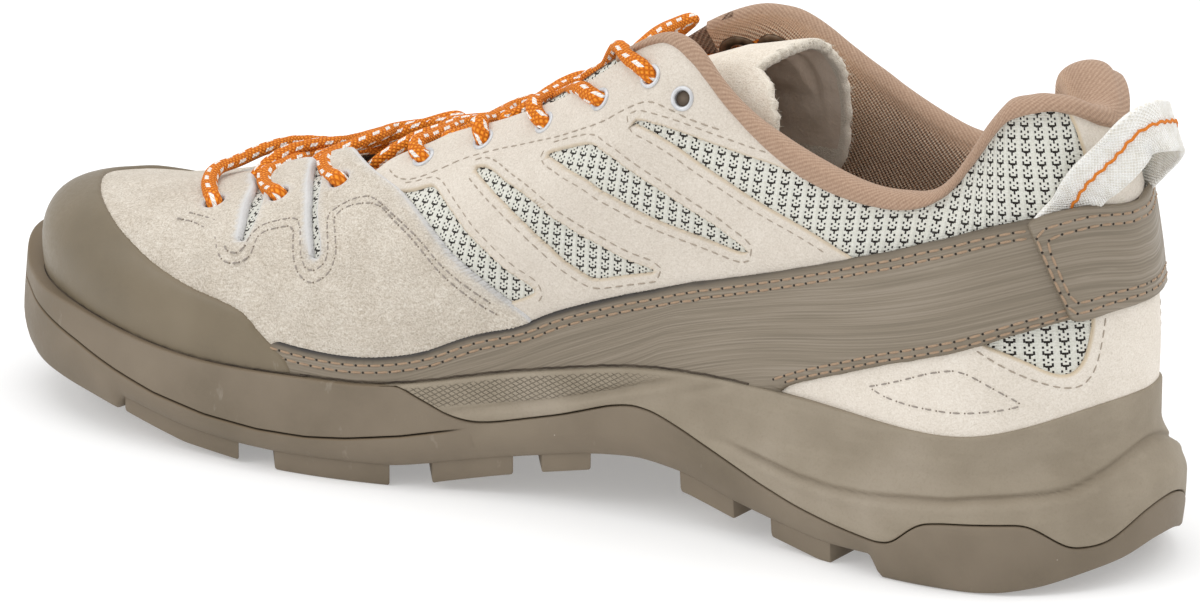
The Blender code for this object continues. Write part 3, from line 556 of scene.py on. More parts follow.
def lining_finish():
    f = Finish("brown_knit", 0.92, Specular_IOR_Level=0.12, Sheen_Weight=0.18, Sheen_Roughness=0.5,
               Sheen_Tint=(1.0, 0.92, 0.85, 1.0))
    u, w, _ = f.split(f.uv)
    wale = f.math("ADD", f.math("MULTIPLY", u, 0.62), f.math("MULTIPLY", w, 0.80))
    fine = f.math("SINE", f.math("MULTIPLY", wale, 2 * math.pi / 0.88))
    broad = f.math("SINE", f.math("MULTIPLY", wale, 2 * math.pi / 1.30))
    inner = f.chart("twill")
    ridge = f.math("ADD", f.math("MULTIPLY", fine, f.math("SUBTRACT", 1.0, inner)), f.math("MULTIPLY", broad, inner))
    loops = f.math("SINE", f.math("MULTIPLY", f.math("SUBTRACT", f.math("MULTIPLY", w, 0.62), f.math("MULTIPLY", u, 0.80)), 2 * math.pi / 0.55))
    height = f.math("ADD", f.math("MULTIPLY", ridge, 0.5), f.math("MULTIPLY", loops, 0.22))
    fluff = f.noise(0.5, detail=2.0)
    weave = f.math("MULTIPLY", height, f.math("ADD", 0.17, f.math("MULTIPLY", inner, 0.55)))
    tone = f.math("ADD", weave, f.math("ADD", f.math("MULTIPLY", fluff, 0.5), 0.25))
    base = f.ramp(tone, [(0.08, lin(122, 96, 78)), (0.5, lin(165, 137, 116)), (0.92, lin(196, 169, 148))])
    # painted light: a much paler copy of the knit, laid by the pale chart where the lining sits in dim light inside the
    # shoe
    painted_lit = f.ramp(tone, [(0.08, lin(170, 128, 100)), (0.5, lin(248, 209, 178)), (0.92, lin(255, 240, 218))])
    base = f.mix(f.chart("pale"), base, painted_lit)
    deep = f.chart("shade")
    base = f.mix(deep, base, lin(104, 85, 72))
    f.colour(base)
    f.normal(f.bump(f.math("MULTIPLY", weave, 1.8), 0.24))
    return f.mat


LINING = lining_finish()


def band_finish():
    f = Finish("ridged_band", 0.52, Specular_IOR_Level=0.35, Coat_Weight=0.06, Coat_Roughness=0.5)
    u, w, _ = f.split(f.uv)
    ridge = f.noise(1.0, f.join(f.math("MULTIPLY", u, 0.010), f.math("MULTIPLY", w, 1.55)), detail=0.0)
    streak = f.noise(1.0, f.join(f.math("MULTIPLY", u, 0.045), f.math("MULTIPLY", w, 2.5), 4.0), detail=0.0)
    tone = f.math("ADD", f.math("MULTIPLY", ridge, 0.5), f.math("MULTIPLY", streak, 0.5))
    base = f.ramp(tone, [(0.34, lin(119, 109, 94)), (0.5, lin(129, 118, 102)), (0.66, lin(139, 128, 113))])
    rub = f.noise(5.0, f.join(f.math("MULTIPLY", u, 0.10), w, 9.0), detail=4.0, rough=0.7)
    base = f.mix(f.range(rub, 0.63, 0.80, 0.0, 0.35), base, lin(190, 181, 166))
    base = f.mix(f.chart("rim"), base, f.mix(f.chart("dark"), lin(118, 107, 91), lin(30, 28, 30)))
    f.colour(base)
    f.rough(f.range(tone, 0.35, 0.65, 0.62, 0.44))
    f.normal(f.bump(tone, 0.17))
    return f.mat


BAND = band_finish()


def lace_finish():
    f = Finish("braided_cord", 0.82, Specular_IOR_Level=0.2, Sheen_Weight=0.04)
    u, w, _ = f.split(f.uv)
    turn = f.math("MULTIPLY", u, 8.0)
    step = f.math("MULTIPLY", w, 1 / 1.15)
    p = f.math("FRACT", f.math("ADD", turn, step))
    q = f.math("FRACT", f.math("SUBTRACT", turn, step))
    weave = f.math("MULTIPLY", f.math("SINE", f.math("MULTIPLY", p, math.pi)), f.math("SINE", f.math("MULTIPLY", q, math.pi)))
    fluff = f.noise(0.4, detail=2.0)
    orange = f.ramp(f.math("ADD", f.math("MULTIPLY", weave, 0.6), f.math("MULTIPLY", fluff, 0.4)),
                    [(0.1, lin(180, 84, 6)), (0.45, lin(228, 124, 20)), (0.85, lin(250, 162, 56))])
    # tracer: pale dashes on four lanes, each lane set half a step on, every
    # dash made of three slanted stitches
    lane_no = f.math("MULTIPLY", u, 4.0)
    lane = f.math("FRACT", lane_no)
    along_lane = f.math("ADD", w, f.math("MULTIPLY", f.math("SUBTRACT", lane, 0.5), 2.4))
    run = f.math("FRACT", f.math("ADD", f.math("MULTIPLY", along_lane, 1 / 4.5), f.math("MULTIPLY", f.math("FLOOR", lane_no), 0.5)))
    off = f.math("ABSOLUTE", f.math("SUBTRACT", lane, 0.5))
    on_lane = f.math("LESS_THAN", off, 0.17)
    dash = f.math("LESS_THAN", run, 0.52)
    gap = f.math("GREATER_THAN", f.math("FRACT", f.math("MULTIPLY", run, 6.0)), 0.10)
    fleck = f.math("MULTIPLY", f.math("MULTIPLY", on_lane, dash), gap)
    f.colour(f.mix(fleck, orange, lin(254, 251, 244)))
    f.normal(f.bump(f.math("ADD", weave, f.math("MULTIPLY", fluff, 0.3)), 0.42))
    return f.mat


CORD = lace_finish()


def webbing_finish():
    f = Finish("white_webbing", 0.88, Specular_IOR_Level=0.15, Sheen_Weight=0.12)
    u, w, _ = f.split(f.uv)
    rib = f.math("SINE", f.math("MULTIPLY", u, 2 * math.pi / 0.85))
    warp = f.math("SINE", f.math("MULTIPLY", w, 2 * math.pi / 0.95))
    weave = f.math("MULTIPLY", rib, warp)
    tone = f.math("ADD", f.math("MULTIPLY", weave, 0.25), f.noise(2.0, detail=3.0))
    f.colour(f.ramp(tone, [(0.2, lin(224, 219, 208)), (0.5, lin(240, 238, 232)), (0.8, lin(247, 246, 243))]))
    f.normal(f.bump(weave, 0.16))
    return f.mat


WEBBING = webbing_finish()


def metal_finish():
    f = Finish("eyelet_metal", 0.42, Metallic=0.45)
    haze = f.noise(1.6, detail=3.0)
    f.colour(f.ramp(haze, [(0.3, lin(184, 185, 187)), (0.7, lin(210, 211, 213))]))
    f.rough(f.range(haze, 0.3, 0.7, 0.36, 0.50))
    f.normal(f.bump(f.noise(0.8), 0.02))
    return f.mat


METAL = metal_finish()


def inner_finish(name, dark, light):
    f = Finish(name, 0.8, Specular_IOR_Level=0.2)
    fold = f.noise(6.0, detail=3.0)
    base = f.ramp(fold, [(0.3, dark), (0.7, light)])
    f.colour(f.mix(f.chart("shade"), base, tuple(0.35 * c for c in dark[:3]) + (1.0,)))
    f.normal(f.bump(f.noise(0.7, detail=2.0), 0.08, f.bump(fold, 0.4)))
    return f.mat


# painted light: these colours are far paler than the lining itself, standing in for light missing inside the shoe
TONGUE_LINING = inner_finish("tongue_lining", lin(212, 196, 179), lin(231, 217, 202))
FOOTBED = inner_finish("footbed", lin(74, 62, 52), lin(98, 83, 70))
HOLE_DARK = inner_finish("hole_shadow", lin(104, 92, 80), lin(128, 115, 101))
THREAD_SUEDE = plain_thread("beige_thread", lin(168, 156, 141))
THREAD_GREY = plain_thread("grey_thread", lin(156, 147, 138))
THREAD_BAND = plain_thread("tan_thread", lin(166, 141, 117))
# painted shade: dark discs standing for the shade inside the needle holes on the suede
SUEDE_HOLE_SHADE = inner_finish("suede_hole_shade", lin(120, 108, 95), lin(138, 126, 112))
THREAD_ORANGE = plain_thread("orange_thread", lin(214, 122, 38))
# painted shade: dark discs standing for the shade inside the needle holes on the band
NEEDLE_HOLE_SHADE = inner_finish("needle_hole_shade", lin(44, 38, 34), lin(60, 52, 46))
# dark glue together with painted shade of the gap between upper and sole
BOND_AND_GAP_SHADE = inner_finish("bond_and_gap_shade_line", lin(58, 50, 43), lin(92, 82, 70))


# ================================================================ mesh helpers
PIECES = []


def piece(name, verts, faces, mats, replaces=(), uv=None, chart_values=None, which=None, outward=None, close=False):
    mesh = bpy.data.meshes.new(name)
    pts = (np.asarray(verts, float) - MID) * MM
    mesh.from_pydata(pts.tolist(), [], [tuple(int(i) for i in f) for f in faces])
    for m in (mats if isinstance(mats, (list, tuple)) else [mats]):
        mesh.materials.append(m)
    if which is not None:
        mesh.polygons.foreach_set("material_index", np.asarray(which, np.int32))
    if uv is not None:
        layer = mesh.uv_layers.new(name="UVMap")
        index = np.empty(len(mesh.loops), np.int32)
        mesh.loops.foreach_get("vertex_index", index)
        layer.data.foreach_set("uv", np.asarray(uv, np.float32)[index].ravel())
    for key, values in (chart_values or {}).items():
        layer = mesh.attributes.new(key, "FLOAT", "POINT")
        layer.data.foreach_set("value", np.asarray(values, np.float32))
    mesh.polygons.foreach_set("use_smooth", np.ones(len(mesh.polygons), bool))
    if close:
        bm = bmesh.new()
        bm.from_mesh(mesh)
        bmesh.ops.recalc_face_normals(bm, faces=bm.faces)
        bm.to_mesh(mesh)
        bm.free()
    elif outward is not None:
        normals = np.empty(len(mesh.polygons) * 3, np.float32)
        mesh.polygons.foreach_get("normal", normals)
        centre = np.empty(len(mesh.polygons) * 3, np.float32)
        mesh.polygons.foreach_get("center", centre)
        first = np.array([p.vertices[0] for p in mesh.polygons])
        if (normals.reshape(-1, 3) * np.asarray(outward)[first]).sum() < 0:
            mesh.flip_normals()
    obj = bpy.data.objects.new(name, mesh)
    bpy.context.scene.collection.objects.link(obj)
    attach(obj, "root")
    for node in replaces:
        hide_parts(node)
    PIECES.append(obj)
    return obj


def grid_faces(rows, cols, wrap_rows=False, wrap_cols=False, start=0):
    i = np.arange(rows if wrap_rows else rows - 1)
    j = np.arange(cols if wrap_cols else cols - 1)
    a, b = np.meshgrid(i, j, indexing="ij")
    a2, b2 = (a + 1) % rows, (b + 1) % cols
    quad = np.stack([a * cols + b, a2 * cols + b, a2 * cols + b2, a * cols + b2], -1)
    return (quad.reshape(-1, 4) + start).tolist()


def chaikin(points, closed, rounds=2):
    p = np.asarray(points, float)
    for _ in range(rounds):
        q = np.roll(p, -1, 0) if closed else p[1:]
        a = p if closed else p[:-1]
        cut = np.stack([0.78 * a + 0.22 * q, 0.22 * a + 0.78 * q], 1).reshape(-1, p.shape[1])
        p = cut if closed else np.concatenate([p[:1], cut, p[-1:]])
    return p


def resample(points, step, closed, mapper=on_skin):
    """Points a given distance apart in space along a charted line."""
    p = np.asarray(points, float)
    if closed:
        p = np.concatenate([p, p[:1]])
    fine = []
    for a, b in zip(p[:-1], p[1:]):
        fine.append(a + (b - a) * np.linspace(0, 1, 9)[:-1, None])
    fine = np.concatenate(fine + [p[-1:]])
    space = mapper(fine[:, 0], fine[:, 1])
    length = np.concatenate([[0], np.cumsum(np.linalg.norm(np.diff(space, axis=0), axis=1))])
    n = max(3, int(round(length[-1] / step)))
    at = np.linspace(0, length[-1], n + 1)
    if closed:
        at = at[:-1]
    return np.stack([np.interp(at, length, fine[:, k]) for k in range(fine.shape[1])], -1)


def frame_at(s, v):
    e = 2e-3
    ds = (on_skin(s + e, v) - on_skin(s - e, v)) / (2 * e)
    mid = np.clip(v, e, 1 - e)
    dv = (on_skin(s, mid + e) - on_skin(s, mid - e)) / (2 * e)
    n = skin_normal(along(s), v)
    return ds, dv, n


def nudge(s, v, move):
    """(station, up) after a small step given in space."""
    ds, dv, _ = frame_at(s, v)
    a, b, c = (ds * ds).sum(-1), (ds * dv).sum(-1), (dv * dv).sum(-1)
    p, q = (ds * move).sum(-1), (dv * move).sum(-1)
    det = a * c - b * b
    return s + (c * p - b * q) / det, v + (a * q - b * p) / det


def shift(points, distance, closed):
    """The line moved sideways over the surface."""
    p = np.asarray(points, float)
    space = on_skin(p[:, 0], p[:, 1])
    if closed:
        t = np.roll(space, -1, 0) - np.roll(space, 1, 0)
    else:
        t = np.gradient(space, axis=0)
    t /= np.maximum(np.linalg.norm(t, axis=1, keepdims=True), 1e-9)
    side = np.cross(skin_normal(along(p[:, 0]), p[:, 1]), t)
    s, v = nudge(p[:, 0], p[:, 1], distance * side)
    return np.stack([s, v], -1)


def inside(points, polygon):
    x, y = points[:, 0][:, None], points[:, 1][:, None]
    a, b = polygon, np.roll(polygon, -1, 0)
    ay, by = a[:, 1][None], b[:, 1][None]
    cross = (ay > y) != (by > y)
    with np.errstate(divide="ignore", invalid="ignore"):
        at = (b[:, 0] - a[:, 0])[None] * (y - ay) / (by - ay) + a[:, 0][None]
    return (np.logical_and(cross, x < at).sum(1) % 2) == 1


def disc(s, v, radius, n=20):
    a = np.linspace(0, 2 * math.pi, n, endpoint=False)
    ds, dv, nn = frame_at(np.array([s]), np.array([v]))
    e1 = ds[0] / np.linalg.norm(ds[0])
    e2 = np.cross(nn[0], e1)
    move = radius * (np.cos(a)[:, None] * e1 + np.sin(a)[:, None] * e2)
    s2, v2 = nudge(np.full(n, s), np.full(n, v), move)
    return np.stack([s2, v2], -1)


CHART = np.array([29.0, 75.0])


def panel(name, outline, holes, mats, top=0.3, base=-0.8, radius=0.7, step=1.7, rim=0.6, relief=None,
          charts=None, uv=None, closed_back=True, round_holes=(), replaces=(), edge_step=1.1, corners=2):
    """A piece of sheet on the upper with its cut edges rolled down to what lies under it."""
    loops = [resample(chaikin(outline, True, corners), edge_step, True)]
    loops += [resample(chaikin(h, True, 2), 0.9, True) for h in holes]
    loops += [np.asarray(h) for h in round_holes]
    dense = [resample(l, 0.16, True) for l in loops]

    def within(p):
        keep = inside(p * CHART, loops[0] * CHART)
        for l in loops[1:]:
            keep &= ~inside(p * CHART, l * CHART)
        return keep

    tree_pts = np.concatenate([on_skin(d[:, 0], d[:, 1]) for d in dense])
    tree = kdtree.KDTree(len(tree_pts))
    for i, p in enumerate(tree_pts):
        tree.insert(p, i)
    tree.balance()

    def distance(p):
        return np.array([tree.find(q)[2] for q in on_skin(p[:, 0], p[:, 1])])

    pts, edges = [], []
    for l in loops:
        k = len(pts)
        n = len(l)
        pts.extend(l)
        edges.extend((k + i, k + (i + 1) % n) for i in range(n))
    bound = len(pts)
    rows = []
    for l in loops:
        for share in (0.10, 0.32, 0.66, 1.0):
            d = share * radius
            row = None
            for sign in (1, -1):
                trial = shift(l, sign * d, True)
                good = within(trial)
                if row is None or good.sum() > row[1].sum():
                    row = (trial, good)
            trial = row[0][row[1]]
            if len(trial):
                trial = trial[distance(trial) > 0.8 * d]
                rows.append(trial)
    lo, hi = loops[0].min(0), loops[0].max(0)
    t_lo, t_hi = along_free(lo[0]), along_free(hi[0])
    ss, lengths = station_ruler(lo[0], hi[0])
    ns = max(4, int(lengths[-1] / step))
    s_line = np.interp(np.linspace(0, lengths[-1], ns), lengths, ss)
    nv = max(4, int((hi[1] - lo[1]) * 82.0 / step))
    v_line = np.linspace(lo[1], hi[1], nv)
    a, b = np.meshgrid(s_line, v_line, indexing="ij")
    b = b + np.where(np.arange(ns)[:, None] % 2, 0.5 * (v_line[1] - v_line[0]), 0.0)
    field = np.stack([a.ravel(), b.ravel()], -1)
    field = field[within(field)]
    if len(field):
        field = field[distance(field) > radius + 0.45 * step]
    rows.append(field)
    pts = np.concatenate([np.asarray(pts)] + [r for r in rows if len(r)])
    flat = pts * CHART
    out = delaunay_2d_cdt([Vector(p) for p in flat], edges, [], 0, 1e-6)
    got = np.array([(p.x, p.y) for p in out[0]]) / CHART
    tri = np.array([f for f in out[2] if len(f) == 3], int)
    tri = tri[within(got[tri].mean(1))]
    used = np.unique(tri)
    remap = -np.ones(len(got), int)
    remap[used] = np.arange(len(used))
    got, tri = got[used], remap[tri]
    d = distance(got)
    d[d < 0.05] = 0.0
    s, v = got[:, 0], got[:, 1]
    roll = np.sqrt(np.maximum(0, 1 - (1 - np.clip(d / radius, 0, 1)) ** 2))
    high = top(s, v) if callable(top) else np.full(len(got), float(top))
    if relief is not None:
        high = high + relief(s, v) * smooth(d / (2.0 * radius))
    h = base + (high - base) * roll
    verts = on_skin(s, v, h)
    values = {"rim": 1.0 - smooth((d - 0.35 * rim) / (0.65 * rim)), "shade": np.zeros(len(got))}
    if charts:
        values.update(charts(s, v, d))
    uvs = uv(s, v, verts) if uv is not None else None
    n_out = skin_normal(along(s), v)
    which = None
    if closed_back:
        m = len(verts)
        back = on_skin(s, v, np.full(m, base - 0.05))
        rimmed = d <= 0.0
        target = np.where(rimmed, np.arange(m), m + np.arange(m))
        tri2 = target[tri][:, ::-1]
        verts = np.concatenate([verts, back])
        tri = np.concatenate([tri, tri2])
        values = {k: np.concatenate([x, x]) for k, x in values.items()}
        uvs = None if uvs is None else np.concatenate([uvs, uvs])
        n_out = np.concatenate([n_out, n_out])
        front = len(tri2)
        used = np.unique(tri)
        remap = -np.ones(len(verts), int)
        remap[used] = np.arange(len(used))
        verts, tri = verts[used], remap[tri]
        values = {k: x[used] for k, x in values.items()}
        uvs = None if uvs is None else uvs[used]
        n_out = n_out[used]
        # orientation from the front faces only
        a, b, c = verts[tri[:front, 0]], verts[tri[:front, 1]], verts[tri[:front, 2]]
        if (np.cross(b - a, c - a) * n_out[tri[:front, 0]]).sum() < 0:
            tri = tri[:, ::-1]
        return piece(name, verts, tri.tolist(), mats, replaces, uvs, values, which)
    return piece(name, verts, tri.tolist(), mats, replaces, uvs, values, which, outward=n_out)


def along_free(s):
    return s


def station_ruler(lo, hi):
    s = np.linspace(lo, hi, 241)
    p = on_skin(s, 0.55)
    return s, np.concatenate([[0], np.cumsum(np.linalg.norm(np.diff(p, axis=0), axis=1))])


def other_side(points):
    p = np.asarray(points, float)
    return np.stack([-p[:, 0], p[:, 1]], -1)[::-1]


def catmull(points, step):
    p = np.asarray(points, float)
    ext = np.concatenate([[2 * p[0] - p[1]], p, [2 * p[-1] - p[-2]]])
    out = []
    for k in range(1, len(ext) - 2):
        a, b, c, d = ext[k - 1:k + 3]
        u = np.linspace(0, 1, 25)[:-1, None]
        out.append(0.5 * (2 * b + (c - a) * u + (2 * a - 5 * b + 4 * c - d) * u ** 2 + (3 * b - a - 3 * c + d) * u ** 3))
    q = np.concatenate(out + [p[-1:]])
    length = np.concatenate([[0], np.cumsum(np.linalg.norm(np.diff(q, axis=0), axis=1))])
    n = max(4, int(length[-1] / step))
    at = np.linspace(0, length[-1], n + 1)
    return np.stack([np.interp(at, length, q[:, k]) for k in range(3)], -1)


def tube(path, radius, sides):
    """Vertices, faces and (turn, run) of a round cord along a path, closed at both ends."""
    p = np.asarray(path, float)
    t = np.gradient(p, axis=0)
    t /= np.linalg.norm(t, axis=1, keepdims=True)
    side = np.cross(t[0], (0.0, 0.1, 1.0))
    run = np.concatenate([[0], np.cumsum(np.linalg.norm(np.diff(p, axis=0), axis=1))])
    verts, uv = [], []
    r = np.broadcast_to(np.asarray(radius, float), (len(p),))
    for i in range(len(p)):
        side = side - t[i] * np.dot(side, t[i])
        side /= np.linalg.norm(side)
        other = np.cross(t[i], side)
        a = 2 * math.pi * np.arange(sides + 1) / sides
        verts.append(p[i] + r[i] * (np.cos(a)[:, None] * side + np.sin(a)[:, None] * other))
        uv.append(np.stack([np.arange(sides + 1) / sides, np.full(sides + 1, run[i])], -1))
    faces = grid_faces(len(p), sides + 1)
    verts, uv = np.concatenate(verts), np.concatenate(uv)
    n = len(verts)
    faces.append(list(range(sides))[::-1])
    faces.append([n - sides - 1 + k for k in range(sides)])
    return verts, faces, uv


class Heap:
    """Many small forms gathered into one mesh."""

    def __init__(self):
        self.v, self.f, self.uv, self.n = [], [], [], 0

    def add(self, verts, faces, uv=None):
        self.f.extend([[i + self.n for i in f] for f in faces])
        self.v.append(np.asarray(verts))
        self.uv.append(np.zeros((len(verts), 2)) if uv is None else uv)
        self.n += len(verts)

    def make(self, name, mat, slot, replaces=(), values=()):
        if not self.v:
            return None
        verts = np.concatenate(self.v)
        charts = {k: np.zeros(len(verts)) for k in values}
        return piece(name, verts, self.f, mat, replaces, np.concatenate(self.uv), charts)


def add_stitch(heap, a, b, n, radius):
    """One stitch from a to b lying on a surface whose outward direction is n."""
    along_ = b - a
    length = np.linalg.norm(along_)
    if length < 1e-6:
        return
    t = along_ / length
    side = np.cross(n, t)
    rings, sides = [], 6
    for share, fat, lift in ((0.0, 0.45, -0.55), (0.12, 0.85, 0.05), (0.5, 1.0, 0.35), (0.88, 0.85, 0.05), (1.0, 0.45, -0.55)):
        c = a + along_ * share + n * radius * lift
        ang = 2 * math.pi * np.arange(sides) / sides
        rings.append(c + radius * fat * (np.cos(ang)[:, None] * side + 0.8 * np.sin(ang)[:, None] * n))
    verts = np.concatenate(rings)
    faces = grid_faces(len(rings), sides, wrap_cols=True)
    faces.append(list(range(sides))[::-1])
    faces.append([len(verts) - sides + k for k in range(sides)])
    heap.add(verts, faces)


def add_hole(heap, c, n, radius, lift):
    e1 = np.cross(n, (0.3, 0.2, 1.0))
    e1 /= np.linalg.norm(e1)
    e2 = np.cross(n, e1)
    ang = 2 * math.pi * np.arange(7) / 7
    rim = c + radius * (np.cos(ang)[:, None] * e1 + np.sin(ang)[:, None] * e2) + lift * n
    low = rim - 2.0 * lift * n
    verts = np.concatenate([rim, low])
    faces = [list(range(7)), list(range(13, 6, -1))] + [[k, 7 + k, 7 + (k + 1) % 7, (k + 1) % 7] for k in range(7)]
    heap.add(verts, faces)


def stitch_row(line, height, threads, holes, length=2.5, pitch=3.2, radius=0.30, hole=0.30, closed=False, smooth_rounds=2):
    p = resample(chaikin(line, closed, smooth_rounds), 0.4, closed)
    if closed:
        p = np.concatenate([p, p[:1]])
    h = height(p[:, 0], p[:, 1]) if callable(height) else np.full(len(p), float(height))
    space = on_skin(p[:, 0], p[:, 1], h)
    normal = skin_normal(along(p[:, 0]), p[:, 1])
    run = np.concatenate([[0], np.cumsum(np.linalg.norm(np.diff(space, axis=0), axis=1))])

    def at(x, arr):
        return np.array([np.interp(x, run, arr[:, k]) for k in range(3)])

    n = int(run[-1] // pitch)
    for k in range(n):
        x = k * pitch + 0.3
        a, b = at(x, space), at(x + length, space)
        nn = at(x + 0.5 * length, normal)
        nn /= np.linalg.norm(nn)
        if threads is not None:
            add_stitch(threads, a, b, nn, radius)
        if holes is not None:
            add_hole(holes, at(min(x + length + 0.3 * (pitch - length), run[-1]), space), nn, hole, 0.07)


# ================================================================ lines charted on the upper
VAMP_REAR = [(8.74, 1.0), (8.695, 0.985), (8.363, 0.872), (7.915, 0.738), (7.385, 0.573), (6.850, 0.422),
             (6.410, 0.313), (6.075, 0.241), (5.728, 0.181), (5.50, 0.12), (5.45, -0.25)]
SLIT_2 = [(9.02, 1.0), (8.87, 0.90), (8.70, 0.795), (8.645, 0.755), (8.500, 0.649), (8.304, 0.527), (8.240, 0.470),
          (8.255, 0.455), (8.285, 0.468), (8.362, 0.527), (8.540, 0.649), (8.680, 0.743), (8.755, 0.785), (8.96, 0.90), (9.15, 1.0)]
SLIT_1 = [(9.85, 1.0), (9.70, 0.94), (9.43, 0.868), (9.290, 0.808), (9.110, 0.715), (8.985, 0.613), (8.925, 0.537),
          (8.940, 0.520), (8.975, 0.540), (9.062, 0.611), (9.230, 0.715), (9.368, 0.799), (9.48, 0.85), (9.82, 0.93), (10.05, 1.0)]
RAW_1 = [(8.975, 0.540), (9.062, 0.611), (9.230, 0.715), (9.368, 0.799), (9.48, 0.85), (9.82, 0.93), (10.05, 1.0)]
RAW_2 = [(8.285, 0.468), (8.362, 0.527), (8.540, 0.649), (8.680, 0.743), (8.755, 0.785), (8.96, 0.90), (9.15, 1.0)]
W1 = [(8.05, 0.745), (7.851, 0.742), (7.717, 0.762), (7.660, 0.753), (7.377, 0.652), (6.946, 0.517), (6.573, 0.412),
      (6.232, 0.330), (5.877, 0.272), (5.848, 0.257), (6.12, 0.232), (6.55, 0.290), (7.02, 0.405), (7.56, 0.560)]
W2 = [(7.405, 0.812), (7.323, 0.812), (7.212, 0.785), (6.903, 0.686), (6.553, 0.582), (6.186, 0.492), (5.823, 0.443),
      (5.423, 0.416), (4.997, 0.390), (4.660, 0.378), (4.470, 0.370), (4.835, 0.341), (5.210, 0.310), (5.407, 0.327),
      (5.788, 0.367), (6.197, 0.439), (6.620, 0.548), (6.979, 0.665), (7.244, 0.754)]
W3 = [(6.755, 0.766), (6.568, 0.747), (6.306, 0.722), (6.127, 0.677), (5.803, 0.636), (5.457, 0.619), (5.125, 0.616),
      (4.740, 0.606), (4.341, 0.592), (4.056, 0.575), (3.818, 0.545), (3.800, 0.531), (3.855, 0.525), (4.082, 0.530),
      (4.412, 0.534), (4.861, 0.537), (5.318, 0.541), (5.594, 0.552), (5.920, 0.570), (6.350, 0.645), (6.623, 0.723)]
W4_UP = [(5.985, 0.763), (5.715, 0.757), (5.406, 0.770), (5.131, 0.790), (4.843, 0.813), (4.539, 0.835), (4.236, 0.855),
         (3.979, 0.876), (3.80, 0.893)]
W4_LOW = [(3.05, 0.660), (3.150, 0.677), (3.319, 0.697), (3.487, 0.714), (3.652, 0.722), (3.811, 0.725), (3.991, 0.730),
          (4.377, 0.741), (4.780, 0.743), (5.180, 0.740), (5.542, 0.736), (5.816, 0.744), (5.975, 0.755)]
BIND_LOW = [
    # station up
    (0.0, 0.985), (0.32, 0.975), (0.62, 0.962), (0.88, 0.955), (1.17, 0.955), (1.39, 0.958), (1.56, 0.962), (1.74, 0.962),
    (1.92, 0.950), (2.09, 0.932), (2.26, 0.914), (2.49, 0.908), (2.72, 0.910), (3.05, 0.914), (3.27, 0.906), (3.50, 0.897),
    (3.73, 0.894), (3.945, 0.905), (4.28, 0.916), (4.66, 0.925), (5.05, 0.926), (5.36, 0.929), (5.66, 0.940), (5.84, 0.955),
    (6.01, 0.970), (6.28, 0.977), (6.50, 0.985),
]
CAP_EDGE = [(8.02, -0.03), (8.10, 0.030), (8.39, 0.125), (8.59, 0.219), (8.80, 0.256), (9.11, 0.288),
            (9.48, 0.338), (9.90, 0.419), (10.45, 0.525), (10.98, 0.594), (11.39, 0.619), (12.00, 0.630)]
BAND_TOP = [
    # station up
    (0.0, 0.700), (0.585, 0.680), (1.041, 0.658), (1.396, 0.668), (2.018, 0.735), (2.544, 0.766), (3.008, 0.712),
    (3.313, 0.602), (3.630, 0.472), (3.927, 0.376), (4.354, 0.307), (4.904, 0.254), (5.278, 0.221), (5.60, 0.190),
    (5.72, 0.172), (5.86, 0.160), (6.014, 0.155), (6.29, 0.150), (6.484, 0.134), (6.708, 0.110), (7.099, 0.099),
    (7.567, 0.093), (8.028, 0.101), (8.40, 0.132),
]
BAND_LOW = [
    # station up
    (0.0, 0.335), (0.213, 0.336), (0.622, 0.323), (0.941, 0.313), (1.113, 0.320), (1.322, 0.322), (1.619, 0.331),
    (1.959, 0.326), (2.290, 0.305), (2.628, 0.248), (2.922, 0.147), (3.10, 0.080), (3.263, 0.005), (3.36, -0.25), (8.40, -0.25),
]
STRAP_END = [(1.405, 0.662), (1.391, 0.645), (1.353, 0.592), (1.291, 0.515), (1.230, 0.438), (1.168, 0.361), (1.135, 0.325), (1.075, 0.307)]
COUNTER_WIN = [(1.93, 0.40), (1.90, 0.335), (1.687, 0.278), (1.502, 0.223), (1.353, 0.172), (1.216, 0.140), (1.111, 0.137),
               (1.019, 0.162), (0.942, 0.218), (0.882, 0.276), (0.862, 0.338), (0.862, 0.40)]
COUNTER_STITCH = [(1.940, 0.316), (1.657, 0.215), (1.434, 0.148), (1.219, 0.097), (1.049, 0.081), (0.919, 0.112),
                  (0.840, 0.162), (0.737, 0.267), (0.707, 0.306)]
ALMOND = [(2.725, 0.132), (2.501, 0.195), (2.319, 0.239), (2.136, 0.254), (2.039, 0.240), (1.927, 0.209), (1.739, 0.147),
          (1.553, 0.082), (1.666, 0.082), (1.893, 0.088), (2.102, 0.091), (2.279, 0.096), (2.459, 0.099), (2.600, 0.107)]
EYESTAY_ROW = [(8.190, 0.850), (8.060, 0.800), (7.93, 0.790), (7.775, 0.812), (7.551, 0.862), (7.269, 0.870), (6.954, 0.845),
               (6.719, 0.810), (6.345, 0.780), (6.155, 0.799), (5.948, 0.815), (5.693, 0.806), (5.374, 0.813), (5.094, 0.837),
               (4.800, 0.867)]
